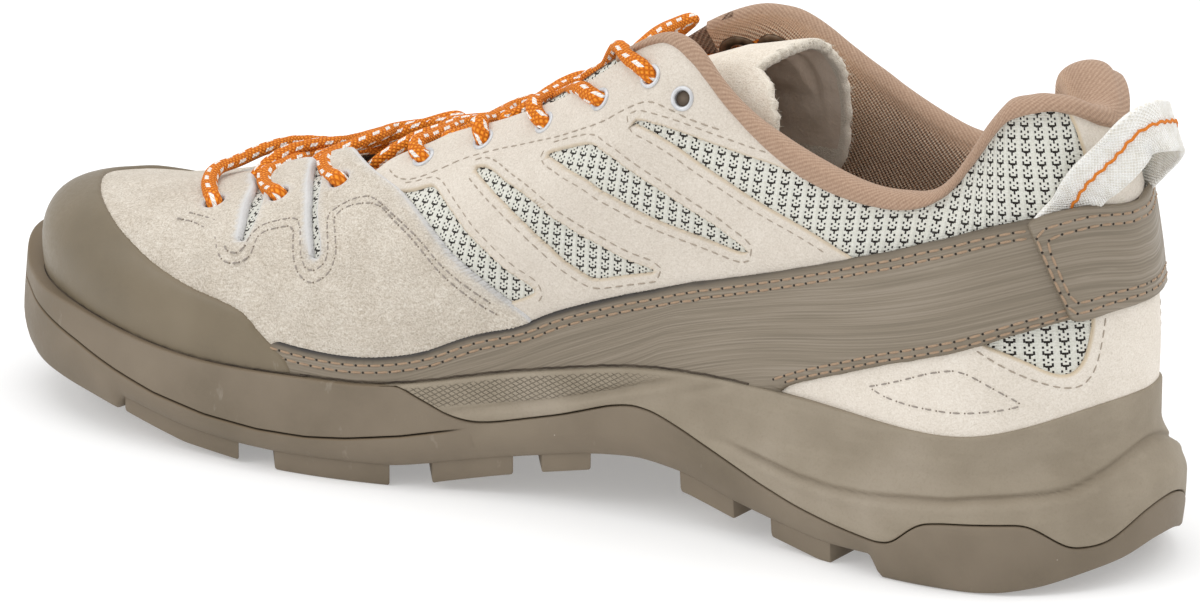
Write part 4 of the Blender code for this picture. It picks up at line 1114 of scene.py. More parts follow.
TAB_ROWS = [
    [(9.68, 0.632), (9.487, 0.621), (9.383, 0.613), (9.251, 0.596), (9.19, 0.575)],
    [(9.70, 0.586), (9.60, 0.584), (9.487, 0.582), (9.276, 0.550), (9.164, 0.522), (9.116, 0.490), (9.033, 0.446),
     (8.937, 0.416), (8.854, 0.417), (8.797, 0.433), (8.771, 0.462), (8.801, 0.501), (8.833, 0.548), (8.813, 0.573),
     (8.724, 0.590), (8.620, 0.600), (8.560, 0.570), (8.493, 0.514), (8.399, 0.441), (8.293, 0.382), (8.186, 0.353),
     (8.130, 0.363), (8.086, 0.385), (8.074, 0.416), (8.106, 0.479), (8.252, 0.587), (8.325, 0.632), (8.298, 0.676),
     (8.216, 0.692), (8.074, 0.691), (7.793, 0.612), (7.604, 0.565), (7.456, 0.526), (7.119, 0.435), (6.70, 0.325),
     (6.35, 0.245), (6.05, 0.190)],
    [(9.054, 0.495), (8.994, 0.470), (8.924, 0.461), (8.878, 0.469), (8.875, 0.498), (8.901, 0.554), (8.895, 0.588),
     (8.856, 0.610), (8.766, 0.626), (8.640, 0.640), (8.53, 0.590), (8.445, 0.522), (8.377, 0.470), (8.267, 0.407), (8.188, 0.406),
     (8.155, 0.436), (8.161, 0.464), (8.213, 0.514), (8.312, 0.587), (8.394, 0.648), (8.341, 0.692), (8.274, 0.716),
     (8.159, 0.727), (7.961, 0.667), (7.723, 0.608), (7.424, 0.534), (7.00, 0.420), (6.60, 0.320), (6.20, 0.235)],
]

# cord routes over the throat; names tell which hole they leave and whether
# they pass over the edge or come up from under it
STRANDS = {
    "over_1": [(246.5, 28.9, 55.4), (249.1, 26.5, 56.9), (252.1, 22.5, 57.9), (254.4, 16.5, 59.1), (254.0, 9.0, 60.1), (252.3, 0.0, 61.3), (249.6, -9.0, 61.5)],
    "under_1": [(245.0, 15.0, 56.0), (244.0, 15.0, 58.4), (243.7, 13.0, 60.4), (242.9, 8.0, 62.8), (241.6, 2.0, 63.8), (239.2, -6.0, 63.5), (235.9, -13.0, 63.1)],
    "over_2": [(228.9, 26.6, 59.2), (232.7, 25.0, 59.2), (236.3, 22.0, 59.8), (238.9, 18.0, 60.9), (239.3, 13.0, 61.8), (239.5, 5.0, 62.1), (239.0, -2.0, 61.5)],
    "under_2": [(225.8, 16.0, 58.1), (227.0, 15.5, 61.2), (227.8, 14.0, 64.1), (227.7, 10.0, 65.9), (225.9, 4.0, 67.0), (223.2, -6.0, 67.0)],
    "over_3": [(212.6, 24.4, 64.2), (217.1, 22.5, 64.7), (221.0, 19.0, 65.7), (222.8, 16.0, 66.6), (223.4, 12.0, 67.3), (221.7, 7.0, 68.8), (220.1, -1.0, 69.6), (217.8, -11.0, 69.9)],
    "under_3": [(211.0, 14.0, 65.3), (210.2, 13.5, 67.3), (207.9, 11.0, 70.1), (205.0, 5.0, 72.7), (202.6, -2.0, 73.6), (200.3, -9.0, 74.3), (198.3, -14.0, 73.7)],
    "over_4": [(191.7, 22.0, 72.2), (193.8, 20.6, 73.9), (195.0, 18.0, 75.1), (195.5, 14.0, 75.7), (195.5, 5.0, 76.3), (195.4, -4.0, 75.9)],
    "under_4": [(189.5, 17.0, 76.2), (188.2, 14.0, 77.4), (187.2, 8.0, 78.3), (186.3, 1.0, 79.4), (184.7, -7.0, 80.9), (183.8, -12.0, 80.9)],
    "over_5": [(174.3, 21.2, 79.5), (176.3, 19.8, 81.3), (178.0, 17.0, 82.5), (179.4, 12.0, 82.6), (180.1, 4.0, 82.5), (180.5, -5.0, 82.6)],
    "under_5": [(173.2, 17.0, 83.3), (171.3, 14.0, 85.0), (169.7, 9.0, 87.0), (168.7, 3.0, 88.6), (167.7, -3.0, 90.0), (166.6, -9.0, 90.3), (165.5, -14.0, 88.8)],
    "over_6": [(158.0, 21.9, 86.0), (160.3, 20.5, 87.7), (162.5, 18.0, 89.2), (164.2, 13.0, 89.9), (164.5, 6.0, 90.4), (164.5, -2.0, 90.5)],
    "under_6": [(156.8, 17.5, 89.9), (155.0, 16.0, 91.5), (155.2, 10.0, 92.7), (154.8, 0.0, 93.4), (152.3, -10.0, 94.6)],
    "over_7": [(140.3, 24.2, 94.0), (143.6, 23.0, 95.3), (148.3, 20.0, 95.6), (153.8, 15.0, 93.6), (159.7, 9.0, 90.9)],
    "over_8": [(124.1, 25.6, 103.1), (128.9, 24.4, 104.4), (134.5, 21.5, 105.3), (139.3, 17.5, 106.2), (143.6, 13.0, 103.7), (148.8, 8.0, 98.9), (156.6, 2.0, 93.6)],
    "under_8": [(138.2, 15.0, 103.7), (137.6, 11.0, 105.5), (138.0, 4.0, 106.7), (138.4, -4.0, 106.9), (138.4, -11.0, 106.4)],
}
# which hole on the far side each route ends at, and how it gets there
FAR_END = {"over_1": (1, "over"), "under_1": (2, "over"), "over_2": (2, "under"), "under_2": (3, "over"), "over_3": (4, "under"),
           "under_3": (4, "over"), "over_4": (5, "under"), "under_4": (5, "over"), "over_5": (6, "under"), "under_5": (6, "over"),
           "over_6": (6, "under"), "under_6": (7, "over"), "over_7": (6, "under"), "over_8": (7, "under"), "under_8": (8, "over")}
NEAR_HOLE = {"over_1": 1, "under_1": 2, "over_2": 2, "under_2": 3, "over_3": 3, "under_3": 4, "over_4": 4, "under_4": 5,
             "over_5": 5, "under_5": 6, "over_6": 6, "under_6": 7, "over_7": 7, "over_8": 8, "under_8": 7}


def line_at(table, s):
    return np.interp(np.abs(s), column(table, 0), column(table, 1))


# ================================================================ sole
NS = 720
T = stations(NS)
EDGE, OUT = edge(T)
X = EDGE[:, 0]
RIM, RIMZ, LED, BED = RIM_IN(T), RIM_Z(T), LEDGE(T), BED_Z(T)


def soften(a, n=3):
    for _ in range(n):
        a = 0.25 * np.roll(a, 1) + 0.5 * a + 0.25 * np.roll(a, -1)
    return a


# the toe of the sole is blunter and its lip climbs round the tip
FULL = 1.6 * smooth((X - 296.0) / 12.0)
EDGE = EDGE + FULL[:, None] * OUT
INNER = RIM + LED + FULL
RIM = RIM - 1.6 * smooth((X - 268.0) / 25.0)
LED = INNER - RIM
RIMZ = RIMZ + 5.0 * smooth((X - 299.5) / 9.5)
BODY_Z = soften(chart(TREAD, 2, X), 12)
TREAD_Z = soften(chart(TREAD, 1, X), 8)
# round the heel and the toe the wall runs straight down to its own foot
HEEL_FOOT = [(5.0, 9.4), (5.5, 9.0), (6.5, 7.9), (8.0, 6.7), (10.0, 5.8), (13.5, 4.5), (15.5, 3.7), (20.0, 2.1), (24.0, 1.2), (28.0, 0.45),
             (34.0, 0.05), (62.0, 0.0)]
TOE_FOOT = [(256.0, 6.1), (260.0, 6.5), (267.0, 7.7), (275.6, 9.1), (283.0, 10.3), (290.0, 11.0), (296.0, 11.7), (300.0, 12.0), (304.0, 12.5),
            (310.0, 13.5)]
LOW_Z = BODY_Z + (soften(chart(HEEL_FOOT, 1, X), 4) - BODY_Z) * smooth((61.0 - X) / 4.0)
LOW_Z = LOW_Z + (soften(chart(TOE_FOOT, 1, X), 4) - LOW_Z) * smooth((X - 258.0) / 3.5)
LOW_Z = np.maximum(LOW_Z, 0.0)
LOW_IN = BOTTOM_IN - 1.3 * smooth((X - 268.0) / 20.0) - 1.6 * smooth((46.0 - X) / 26.0)
WIDE_FROM = BODY_Z + (LOW_Z + 4.0 - BODY_Z) * smooth((40.0 - X) / 30.0) + (LOW_Z + 1.5 - BODY_Z) * smooth((X - 264.0) / 30.0)
WIDE_Z = WIDE_FROM + WIDEST * (RIMZ - WIDE_FROM)
HEEL = np.clip((105.0 - X) / 45.0, 0, 1)
FORE = smooth((X - 176.0) / 8.0)
PART_Z = soften(np.minimum(chart(PARTING, 1, X), RIMZ - 0.4), 3)
PART_Z = np.where(X >= FORE_X, RIMZ, PART_Z * (1 - FORE) + np.minimum(RIMZ, PART_Z + 1.0) * FORE)
PART_Z = soften(PART_Z, 2)
RUN = np.concatenate([[0], np.cumsum(np.hypot(*np.diff(EDGE, axis=0).T))])


def wall_inset(z):
    low = np.clip((WIDE_Z - z) / (WIDE_Z - LOW_Z), 0, 1)
    high = np.clip((z - WIDE_Z) / (RIMZ - WIDE_Z), 0, 1)
    return LOW_IN * low ** 2 + RIM * (HEEL * smooth(high / 0.6) + (1 - HEEL) * high ** 1.2)


def loop_at(inset, z):
    z = np.broadcast_to(np.asarray(z, float), X.shape)
    inset = np.broadcast_to(np.asarray(inset, float), X.shape)
    return np.stack([EDGE[:, 0] - inset * OUT[:, 0], EDGE[:, 1] - inset * OUT[:, 1], z], -1)


GROOVE = [
    # x     z   : fine line let into the forefoot wall
    (164.0, 17.2), (168.0, 16.2), (181.0, 13.4), (194.0, 11.5), (204.0, 10.6), (217.0, 10.5), (232.0, 11.6), (247.0, 14.1),
    (259.0, 17.2), (273.0, 21.2), (288.0, 24.6), (300.0, 27.2), (310.0, 29.0),
]
HEEL_LEDGE = [
    # x     z   : ledge round the heel of the foam
    (5.0, 31.0), (6.5, 29.5), (8.0, 28.2), (10.0, 26.7), (13.5, 24.6), (16.0, 23.5), (20.0, 22.8), (28.0, 22.0), (34.0, 21.5), (40.0, 20.7), (50.0, 20.1), (60.0, 19.1),
    (70.0, 18.8), (80.0, 19.5), (90.0, 21.4), (100.0, 23.4), (104.0, 24.6),
]


def ladder(verts, faces, ring, across=8):
    n = len(ring)
    rows = []
    for i in range(1, n // 2):
        a, b = np.array(verts[ring[i]]), np.array(verts[ring[n - i]])
        row = [ring[i]]
        for k in range(1, across):
            verts.append(a + (b - a) * k / across)
            row.append(len(verts) - 1)
        row.append(ring[n - i])
        rows.append(row)
    for r, s in zip(rows[:-1], rows[1:]):
        for k in range(across):
            faces.append((r[k], r[k + 1], s[k + 1], s[k]))
    for k in range(across):
        faces.append((ring[0], rows[0][k], rows[0][k + 1]))
        faces.append((ring[n // 2], rows[-1][k + 1], rows[-1][k]))


def make_outsole():
    groove_z = chart(GROOVE, 1, X)
    groove_on = smooth((X - 165.0) / 9.0)
    groove_z = np.where(X > 164, groove_z, 0.5 * (BODY_Z + PART_Z))
    groove_z = np.clip(groove_z, LOW_Z + 1.4, PART_Z - 1.6)
    rings, worn, dark = [], [], []

    def add(inset, z, w=0.0, k=0.0):
        rings.append(loop_at(inset, z))
        worn.append(np.broadcast_to(np.asarray(w, float), X.shape))
        dark.append(np.broadcast_to(np.asarray(k, float), X.shape))

    add(LOW_IN + 17.0, BODY_Z + 0.3)
    add(LOW_IN + 13.6, BODY_Z)
    add(LOW_IN + 13.0, 0.75 * LOW_Z + 0.25 * BODY_Z)
    add(LOW_IN + 12.3, LOW_Z)
    add(LOW_IN + 1.0, LOW_Z)
    add(LOW_IN + 0.32, LOW_Z + 0.18)
    add(wall_inset(LOW_Z + 0.7) + 0.02, LOW_Z + 0.7)
    lo, hi = LOW_Z + 1.0, groove_z - 0.62
    for q in np.linspace(0, 1, 8):
        z = lo + (hi - lo) * q
        add(wall_inset(z), z)
    # the groove's lower side and its deepest rows carry painted shade, brown and near-black
    for dz, deep in ((-0.40, 0.0), (-0.24, 0.12), (-0.14, 0.8), (0.0, 1.0), (0.14, 0.8), (0.24, 0.12), (0.40, 0.0)):
        z = groove_z + dz
        add(wall_inset(z) + 1.1 * deep * groove_on, z, groove_on * (1.0 if dz < 0 else 0.2), np.minimum(1.0, 1.2 * deep) * groove_on)
    lo, hi = groove_z + 0.62, PART_Z - 0.75
    for q in np.linspace(0, 1, 9):
        z = lo + (hi - lo) * q
        add(wall_inset(z), z)
    # painted shade: brown on the lip that turns in under the midsole and the upper, near-black on the hidden rows
    # inside
    brown = 0.35 + 0.4 * FORE
    for drop, inn, w in ((0.42, 0.03, 0.2), (0.20, 0.14, 0.5), (0.06, 0.36, 0.8), (0.0, 0.70, 0.9)):
        add(wall_inset(PART_Z - drop) + inn, PART_Z - drop, brown * w)
    fore = X > FORE_X - 4
    deep = np.where(fore, LED + 0.4, LIP)
    add(wall_inset(PART_Z) + 0.72 * deep, PART_Z - 0.02, brown * 0.5)
    add(wall_inset(PART_Z) + deep, PART_Z - 0.25, brown * 0.9, 0.5)
    add(wall_inset(PART_Z) + deep + 0.6, PART_Z - 2.4, 1.0, 1.0)
    verts = list(np.concatenate(rings))
    w = np.concatenate(worn)
    k_dark = np.concatenate(dark)
    faces = grid_faces(len(rings), NS, wrap_cols=True)
    before = len(verts)
    ladder(verts, faces, list(range(NS)))
    top = list(range((len(rings) - 1) * NS, len(rings) * NS))
    ladder(verts, faces, top)
    w = np.concatenate([w, np.zeros(len(verts) - before)])
    heap = Heap()
    heap.add(np.array(verts), faces)
    half = NS // 2
    sides = {1: (EDGE[1:half], OUT[1:half]), -1: (EDGE[:half:-1], OUT[:half:-1])}

    def side_y(x, sign, inset):
        p, o = sides[sign]
        q = p - inset * o
        order = np.argsort(q[:, 0])
        return np.interp(x, q[order, 0], q[order, 1])

    for k, (x0, x1, inner, outer) in enumerate(LUGS):
        if k in (0, 7):
            continue                  # these run on round the heel and the toe as the wall's foot
        for sign in ((1,) if k >= MIDDLE_LUGS_FROM else (1, -1)):
            n = max(6, int((x1 - x0) / 1.6))
            xs = np.concatenate([[x0, x0 + 0.15, x0 + 0.5], np.linspace(x0 + 1.2, x1 - 1.2, n), [x1 - 0.5, x1 - 0.15, x1]])
            tread, body = chart(TREAD, 1, xs), chart(TREAD, 2, xs)
            end = np.minimum(xs - x0, x1 - xs)
            pull = 0.55 * (1 - np.sqrt(np.maximum(0, 1 - (1 - np.clip(end / 0.5, 0, 1)) ** 2)))
            if k >= MIDDLE_LUGS_FROM:
                a = side_y(xs, 1, BOTTOM_IN) * inner
                b = side_y(xs, 1, BOTTOM_IN) * outer
            else:
                rim = side_y(xs, sign, BOTTOM_IN)
                a = rim * inner
                b = side_y(xs, sign, BOTTOM_IN + 0.15)
            d = np.sign(b - a)
            # the blocks under the forefoot run in at a slant towards the toe
            slant = 0.78 if 3 <= k <= 6 else 0.0
            if k in (3, 4):
                tread = tread - 0.7
            profile = [(b - 0.0 * d, body + 1.4), (b - 0.10 * d, body - 0.1), (b - 0.45 * d, tread + 0.55), (b - 0.62 * d, tread + 0.16),
                       (b - 1.0 * d, tread), (0.5 * (a + b), tread), (a + 1.2 * d, tread), (a + 0.7 * d, tread + 0.18),
                       (a + 0.5 * d, tread + 0.6), (a, body - 0.1), (a - 0.2 * d, body + 1.4)]
            grid = np.stack([np.stack([xs + slant * np.abs(y - b), y, z + (pull if j in range(2, 9) else 0.0)], -1)
                             for j, (y, z) in enumerate(profile)], 1)
            if slant:
                for j in (0, 9, 10):
                    grid[:, j, 2] = chart(TREAD, 2, grid[:, j, 0]) + (1.4 if j != 9 else -0.1)
            f = grid_faces(len(xs), len(profile))
            m = len(profile)
            f.append(list(range(m)))
            f.append([(len(xs) - 1) * m + j for j in range(m)][::-1])
            heap.add(grid.reshape(-1, 3), f)
    verts = np.concatenate(heap.v)
    w = np.concatenate([w, np.zeros(len(verts) - len(w))])
    k_dark = np.concatenate([k_dark, np.zeros(len(verts) - len(k_dark))])
    return piece("outsole_rubber", verts, heap.f, RUBBER, ("outsole",), chart_values={"worn": w, "dark": k_dark}, close=True)


RIDGES = [
    # x0   z0    x1    z1   : soft lines pressed into the foam under the arch
    (174.0, 19.2, 142.0, 26.3, 0.60, 0.8),
    (146.0, 25.2, 112.0, 35.8, 0.85, 0.8),
    (114.0, 31.6, 97.0, 37.6, 0.60, 0.9),
]


def make_midsole():
    use = np.where(X < FORE_X + 3)[0]
    first = np.where(np.diff(use) > 1)[0][0] + 1
    order = np.concatenate([use[first:], use[:first]])          # lateral front, heel, medial front
    rows = []
    low = PART_Z + 0.28
    low = np.minimum(low, RIMZ - 0.05)
    high = np.maximum(RIMZ - 0.8, low)
    ledge_z = chart(HEEL_LEDGE, 1, X)
    ledge_on = smooth((104.0 - X) / 14.0)
    grid, worn, uvs = [], [], []

    def add(inset, z, w=0.0, g=0.0):
        rows.append(loop_at(inset, z)[order])
        worn.append(np.broadcast_to(np.asarray(w, float), X.shape)[order])
        grid.append(np.broadcast_to(np.asarray(g, float), X.shape)[order])
        uvs.append(np.stack([X, np.broadcast_to(z, X.shape)], -1)[order])

    def wall(z):
        d = wall_inset(z) + 0.12
        d = d + ledge_on * (1.05 * bell(z - ledge_z, 0.62) - 0.55 * bell(z - ledge_z + 1.9, 1.2))
        for x0, z0, x1, z1, deep, wide in RIDGES:
            length = math.hypot(x1 - x0, z1 - z0)
            tx, tz = (x1 - x0) / length, (z1 - z0) / length
            run = (X - x0) * tx + (z - z0) * tz
            off = (X - x0) * -tz + (z - z0) * tx
            fade = smooth(run / 6.0) * smooth((length - run) / 6.0)
            d = d + fade * (deep * bell(off, wide) - 0.6 * deep * bell(off - 1.7, 1.3))
        return d

    # painted shade: brown on the rows that turn in under the foam's lower edge
    add(wall_inset(PART_Z) + 3.4, low - 1.2, 1.5)
    add(wall_inset(PART_Z) + 1.2, low - 0.1, 1.5)
    add(wall_inset(low) + 0.45, low, 1.3)
    add(wall_inset(low) + 0.20, low + 0.15 * np.minimum(1, high - low), 0.4)
    n = 44
    for q in np.linspace(0, 1, n):
        z = low + 0.3 * np.minimum(1, high - low) + (high - low - 0.3 * np.minimum(1, high - low)) * q
        top_line = RIMZ - 0.7
        base_line = np.interp(X, (112.0, 116.0, 131.6, 148.0, 175.0, 186.0), (37.0, 34.8, 29.6, 25.3, 20.6, 19.4))
        g = smooth((top_line - z) / 0.4) * smooth((z - base_line) / 0.5) * smooth((X - 110.0) / 26.0) * smooth((186.0 - X) / 4.0)
        # painted shade: brown in the heel ledge groove
        groove = ledge_on * bell(z - ledge_z, 0.6)
        add(wall(z), z, 0.55 * groove, g)
    over = wall(RIMZ - 0.8)
    for drop, inn in ((0.45, 0.08), (0.2, 0.24), (0.05, 0.52), (0.0, 0.9)):
        add(over + inn, np.maximum(RIMZ - drop, low), 0.0)
    # painted shade: brown on the rows that turn in under the upper
    add(RIM + LED - 0.1, RIMZ - 0.03, 0.35)
    add(RIM + LED + 0.5, RIMZ - 0.5, 0.9)
    add(RIM + LED + 0.9, np.minimum(RIMZ - 3.0, RIMZ), 1.0)
    cols = len(order)
    verts = np.concatenate(rows)
    faces = grid_faces(len(rows), cols)
    n_out = np.tile(np.stack([OUT[:, 0], OUT[:, 1], np.zeros(NS)], -1)[order], (len(rows), 1))
    return piece("midsole_foam", verts, faces, FOAM, ("midsole",), np.concatenate(uvs),
                 {"worn": np.concatenate(worn), "grid": np.concatenate(grid)}, outward=n_out)


def make_insole():
    n = 200
    t = stations(n)
    p, o = edge(t)
    rings = []
    for inset, dz in ((0.5, 0.3), (0.5, 3.0), (0.9, 3.9), (1.8, 4.3), (9.0, 4.1)):
        d = RIM_IN(t) + LEDGE(t) + WALL + inset
        rings.append(np.stack([p[:, 0] - d * o[:, 0], p[:, 1] - d * o[:, 1], BED_Z(t) + dz], -1))
    verts = list(np.concatenate(rings))
    faces = grid_faces(len(rings), n, wrap_cols=True)
    ladder(verts, faces, list(range(n)))
    ladder(verts, faces, list(range((len(rings) - 1) * n, len(rings) * n)))
    return piece("footbed", np.array(verts), faces, FOOTBED, ("insole",), chart_values={"shade": np.zeros(len(verts))}, close=True)


# ================================================================ upper
PITCH = [
    # x    column pitch of the knit
    (0.0, 3.68), (60.0, 3.65), (90.0, 3.6), (110.0, 3.45), (130.0, 3.05), (160.0, 2.95), (260.0, 2.8),
]
_px = np.linspace(0, 320, 641)
_pu = np.concatenate([[0], np.cumsum(0.5 / chart(PITCH, 1, 0.5 * (_px[1:] + _px[:-1])))])


# the throat is cut down between the rearmost tab and the eyestay
CUT = [
    # station up
    (7.60, 1.0), (7.72, 0.985), (7.87, 0.970), (7.98, 0.945), (8.10, 0.925), (8.20, 0.900), (8.29, 0.845), (8.36, 0.850), (8.50, 0.905), (8.70, 0.975), (8.80, 1.0),
]


def throat_top(s):
    return np.where(np.abs(s) > 7.0, np.interp(np.minimum(np.abs(s), 24.0 - np.abs(s)), column(CUT, 0), column(CUT, 1)), 1.0)


def make_knit():
    ns, nv = 420, 56
    s = np.linspace(-11.3, 11.3, ns)
    top = np.where(np.abs(s) < 6.45, np.minimum(1.0, line_at(BIND_LOW, s) + 0.012), throat_top(s))
    a = np.repeat(s[:, None], nv, 1)
    b = -0.1 + (top[:, None] + 0.1) * np.linspace(0, 1, nv)[None, :]
    p = on_skin(a, b, -0.55)
    rise, up = seam_rise(s)
    p = p + (rise[:, None] * smooth((b - top[:, None] + 0.16) / 0.16))[..., None] * up[:, None, :]
    arc = np.concatenate([np.zeros((ns, 1)), np.cumsum(np.linalg.norm(np.diff(p, axis=1), axis=2), axis=1)], 1)
    low = RIM_Z(along(s))[:, None]
    run = np.hypot(np.diff(p[:, 30, 0]), np.diff(p[:, 30, 1]))
    lean = p[..., 0] + 0.09 * (p[..., 2] - 70.0)
    # round the heel the columns follow the girth, not the length
    girth = np.concatenate([[0], np.cumsum(run)])
    girth = np.abs(girth - np.interp(0.0, s, girth))
    x_mid = p[:, 30, 0]
    knee = np.interp(1.9, s, girth)
    x_knee = np.interp(1.9, s, x_mid)
    heel = smooth((2.3 - np.abs(a)) / 0.8)
    ahead = (lean - x_knee)
    behind = (girth[:, None] - knee)
    col = np.interp(np.clip(x_knee + ahead * (1 - heel) + behind * heel, 0, 320), _px, _pu)
    uv = np.stack([col, (arc + low) / 2.85], -1)
    n = skin_normal(along(a), b)
    return piece("knit_base", p.reshape(-1, 3), grid_faces(ns, nv), KNIT_MAT, (), uv.reshape(-1, 2), outward=n.reshape(-1, 3))


def near_line(s, v, line, width):
    """Share of a soft trough along a charted line."""
    p = resample(chaikin(line, False), 0.8, False)
    pts = on_skin(p[:, 0], p[:, 1])
    tree = kdtree.KDTree(len(pts))
    for i, q in enumerate(pts):
        tree.insert(q, i)
    tree.balance()
    d = np.array([tree.find(q)[2] for q in on_skin(s, v)])
    return bell(d, width)


VAMP_TOP = 0.95


def make_vamp():
    def both(line):
        return list(line)

    medial = VAMP_REAR[::-1] + SLIT_2 + SLIT_1
    lateral = [(24.0 - s, v) for s, v in medial][::-1]
    toe_top = [(11.3, 1.0), (12.0, 1.0), (12.7, 1.0)]
    bottom = [(s, -0.25) for s in np.linspace(18.4, 5.6, 40)]
    outline = medial + toe_top + lateral + bottom
    rings = [disc(s if k == 0 else 24.0 - s, v, 2.3) for s, v, metal, _ in HOLES if not metal for k in (0, 1)]

    def relief(s, v):
        m = np.where(s > 12, 24 - s, s)
        d = np.zeros(len(s))
        for row in TAB_ROWS:
            d -= 0.16 * near_line(m, v, row, 0.7)
        # flex creases across the ball and soft puckers under the tabs
        d -= 0.45 * near_line(m, v, [(8.9, 0.47), (8.75, 0.38), (8.5, 0.30)], 2.4)
        d -= 0.40 * near_line(m, v, [(9.75, 0.60), (9.55, 0.50), (9.40, 0.42)], 2.6)
        d += 0.35 * near_line(m, v, [(9.30, 0.58), (9.15, 0.44), (9.00, 0.36)], 2.4)
        d -= 0.35 * near_line(m, v, [(7.9, 0.50), (7.7, 0.36), (7.4, 0.26)], 3.0)
        for line in (RAW_1, RAW_2):
            d += 0.55 * near_line(m, v, line, 1.6)
        for s0, v0, metal, _ in HOLES:
            if not metal:
                d -= 0.30 * near_line(m, v, [(s0, v0), (s0 + 0.01, v0 + 0.001)], 3.2)
        return d

    def charts(s, v, d):
        m = np.where(s > 12, 24 - s, s)
        raw = 1.0 - smooth((d - 0.45) / 0.8)
        for line, wide in ((RAW_1, 2.0), (RAW_2, 1.9)):
            near = np.sqrt(np.maximum(0.0, -np.log(np.maximum(near_line(m, v, line, 4.0), 1e-9)))) * 4.0
            top = np.interp(v, (0.45, 0.75, 1.0), (0.55, 1.0, 1.0)) * wide
            front = np.interp(v, column(line, 1), column(line, 0)) < m
            raw = np.maximum(raw, np.where(front, 1.0 - smooth((near - 0.7 * top) / (0.3 * top)), 0.0))
        return {"rim": raw}

    return panel("vamp_suede", outline, [], VAMP, top=VAMP_TOP, base=-0.75, radius=1.0, step=1.5, rim=1.25,
                 relief=relief, charts=charts, round_holes=rings, edge_step=0.9)


QUARTER_OUT = ([(8.34, 0.83), (8.30, 0.77), (8.20, 0.73), (7.72, 0.57), (7.20, 0.42), (6.85, 0.31), (6.45, 0.22), (6.05, 0.12),
                (5.66, 0.13), (5.278, 0.17), (4.904, 0.20), (4.354, 0.25), (3.927, 0.32), (3.63, 0.42), (3.313, 0.55), (3.02, 0.62)]
               + W4_LOW + W4_UP
               + [(3.72, 0.915), (3.945, 0.930), (4.28, 0.940), (4.66, 0.948), (5.05, 0.950), (5.36, 0.955), (5.66, 0.965), (5.84, 0.978),
                  (6.01, 0.986), (6.28, 0.983), (6.45, 0.979), (6.6, 0.977), (6.75, 0.975), (6.86, 0.976), (6.96, 0.986), (7.13, 1.0), (7.55, 1.0),
                  (7.723, 0.997), (7.866, 0.984), (7.977, 0.961), (8.10, 0.941), (8.205, 0.919), (8.268, 0.894), (8.300, 0.863)])


def make_quarters():
    for tag, flip in (("m", False), ("l", True)):
        def f(line):
            return other_side(line) if flip else np.asarray(line, float)
        rings = [disc(-s if flip else s, v, 2.05) for s, v, metal, _ in HOLES if metal]

        def relief(s, v):
            m = np.abs(s)
            d = -0.10 * near_line(m, v, EYESTAY_ROW, 0.6)
            for w in (W2, W3):
                line = shift(resample(chaikin(w, True), 1.0, True), FRAME_SIGN * 2.3, True)
                d -= 0.10 * near_line(m, v, line, 0.6)
            return d

        panel("quarter_%s" % tag, f(QUARTER_OUT), [f(W1), f(W2), f(W3)], QUARTER, top=0.30, base=-0.75, radius=0.75,
              step=1.6, rim=0.75, relief=relief, round_holes=rings, edge_step=1.0)


def frame_sign():
    """Which sideways direction leads out of the window outlines."""
    p = resample(chaikin(W3, True), 1.0, True)
    out = shift(p, 1.0, True)
    return -1.0 if inside(out * CHART, p * CHART).mean() > 0.5 else 1.0


FRAME_SIGN = frame_sign()


def make_heel_panels():
    up = [(0.80, 0.985), (0.791, 0.965), (0.727, 0.93), (0.689, 0.887), (0.662, 0.854), (0.63, 0.76), (0.61, 0.60)]
    patch = up + [(0.3, 0.58), (0.0, 0.58)] + [(-s, v) for s, v in up][::-1] + [(-0.4, 0.992), (0.0, 0.995), (0.4, 0.992)]
    panel("heel_patch", patch, [], HEEL_SUEDE, top=0.15, base=-0.75, radius=0.8, rim=0.8, step=1.6)
    side = [(3.40, -0.32), (3.36, 0.02), (3.10, 0.12), (2.922, 0.20), (2.628, 0.30), (2.29, 0.40), (2.05, 0.45)]
    outline = (side + [(1.4, 0.46), (0.7, 0.46), (0.0, 0.46), (-0.7, 0.46), (-1.4, 0.46)] + [(-s, v) for s, v in side][::-1]
               + [(s, -0.32) for s in np.linspace(-3.2, 3.2, 24)])

    def relief(s, v):
        m = np.abs(s)
        return (-0.12 * near_line(m, v, ALMOND, 0.6) - 0.12 * near_line(m, v, COUNTER_STITCH, 0.6)
                - 0.55 * bell((s + 0.06) * 22.0, 0.7) + 0.25 * bell((s + 0.06) * 22.0 - 1.6, 1.0) + 0.25 * bell((s + 0.06) * 22.0 + 1.6, 1.0))

    panel("heel_counter", outline, [COUNTER_WIN, other_side(COUNTER_WIN)], HEEL_SUEDE, top=0.35, base=-0.75, radius=0.8,
          rim=0.8, step=1.6, relief=relief)


def make_cap():
    line = CAP_EDGE[1:]
    outline = [(s, v) for s, v in line] + [(24.0 - s, v) for s, v in line][::-1][1:]
    outline = [(8.02, -0.4)] + outline + [(15.98, -0.4)]
    outline += [(s, -0.4) for s in np.linspace(15.8, 8.2, 30)]

    def relief(s, v):
        m = np.where(s > 12, 24 - s, s)
        # the moulded cap swells a little above the rim and thins to its edge
        return 0.25 * bell(v - 0.20, 0.14) * smooth((m - 8.4) / 1.4)

    def charts(s, v, d):
        # painted shade: brown round the cut edge and near-black at the foot where the cap meets the sole's ledge
        return {"worn": 0.30 * (1.0 - smooth(d / 0.9)), "dark": 0.6 * smooth((0.012 - v) / 0.02), "rim": np.zeros(len(s))}

    return panel("toe_cap_rubber", outline, [], CAP_RUBBER, top=1.85, base=0.35, radius=1.15, step=1.8, rim=0.8,
                 relief=relief, charts=charts, replaces=("toe_cap",), edge_step=1.0, corners=2)


BAND_H = 1.45


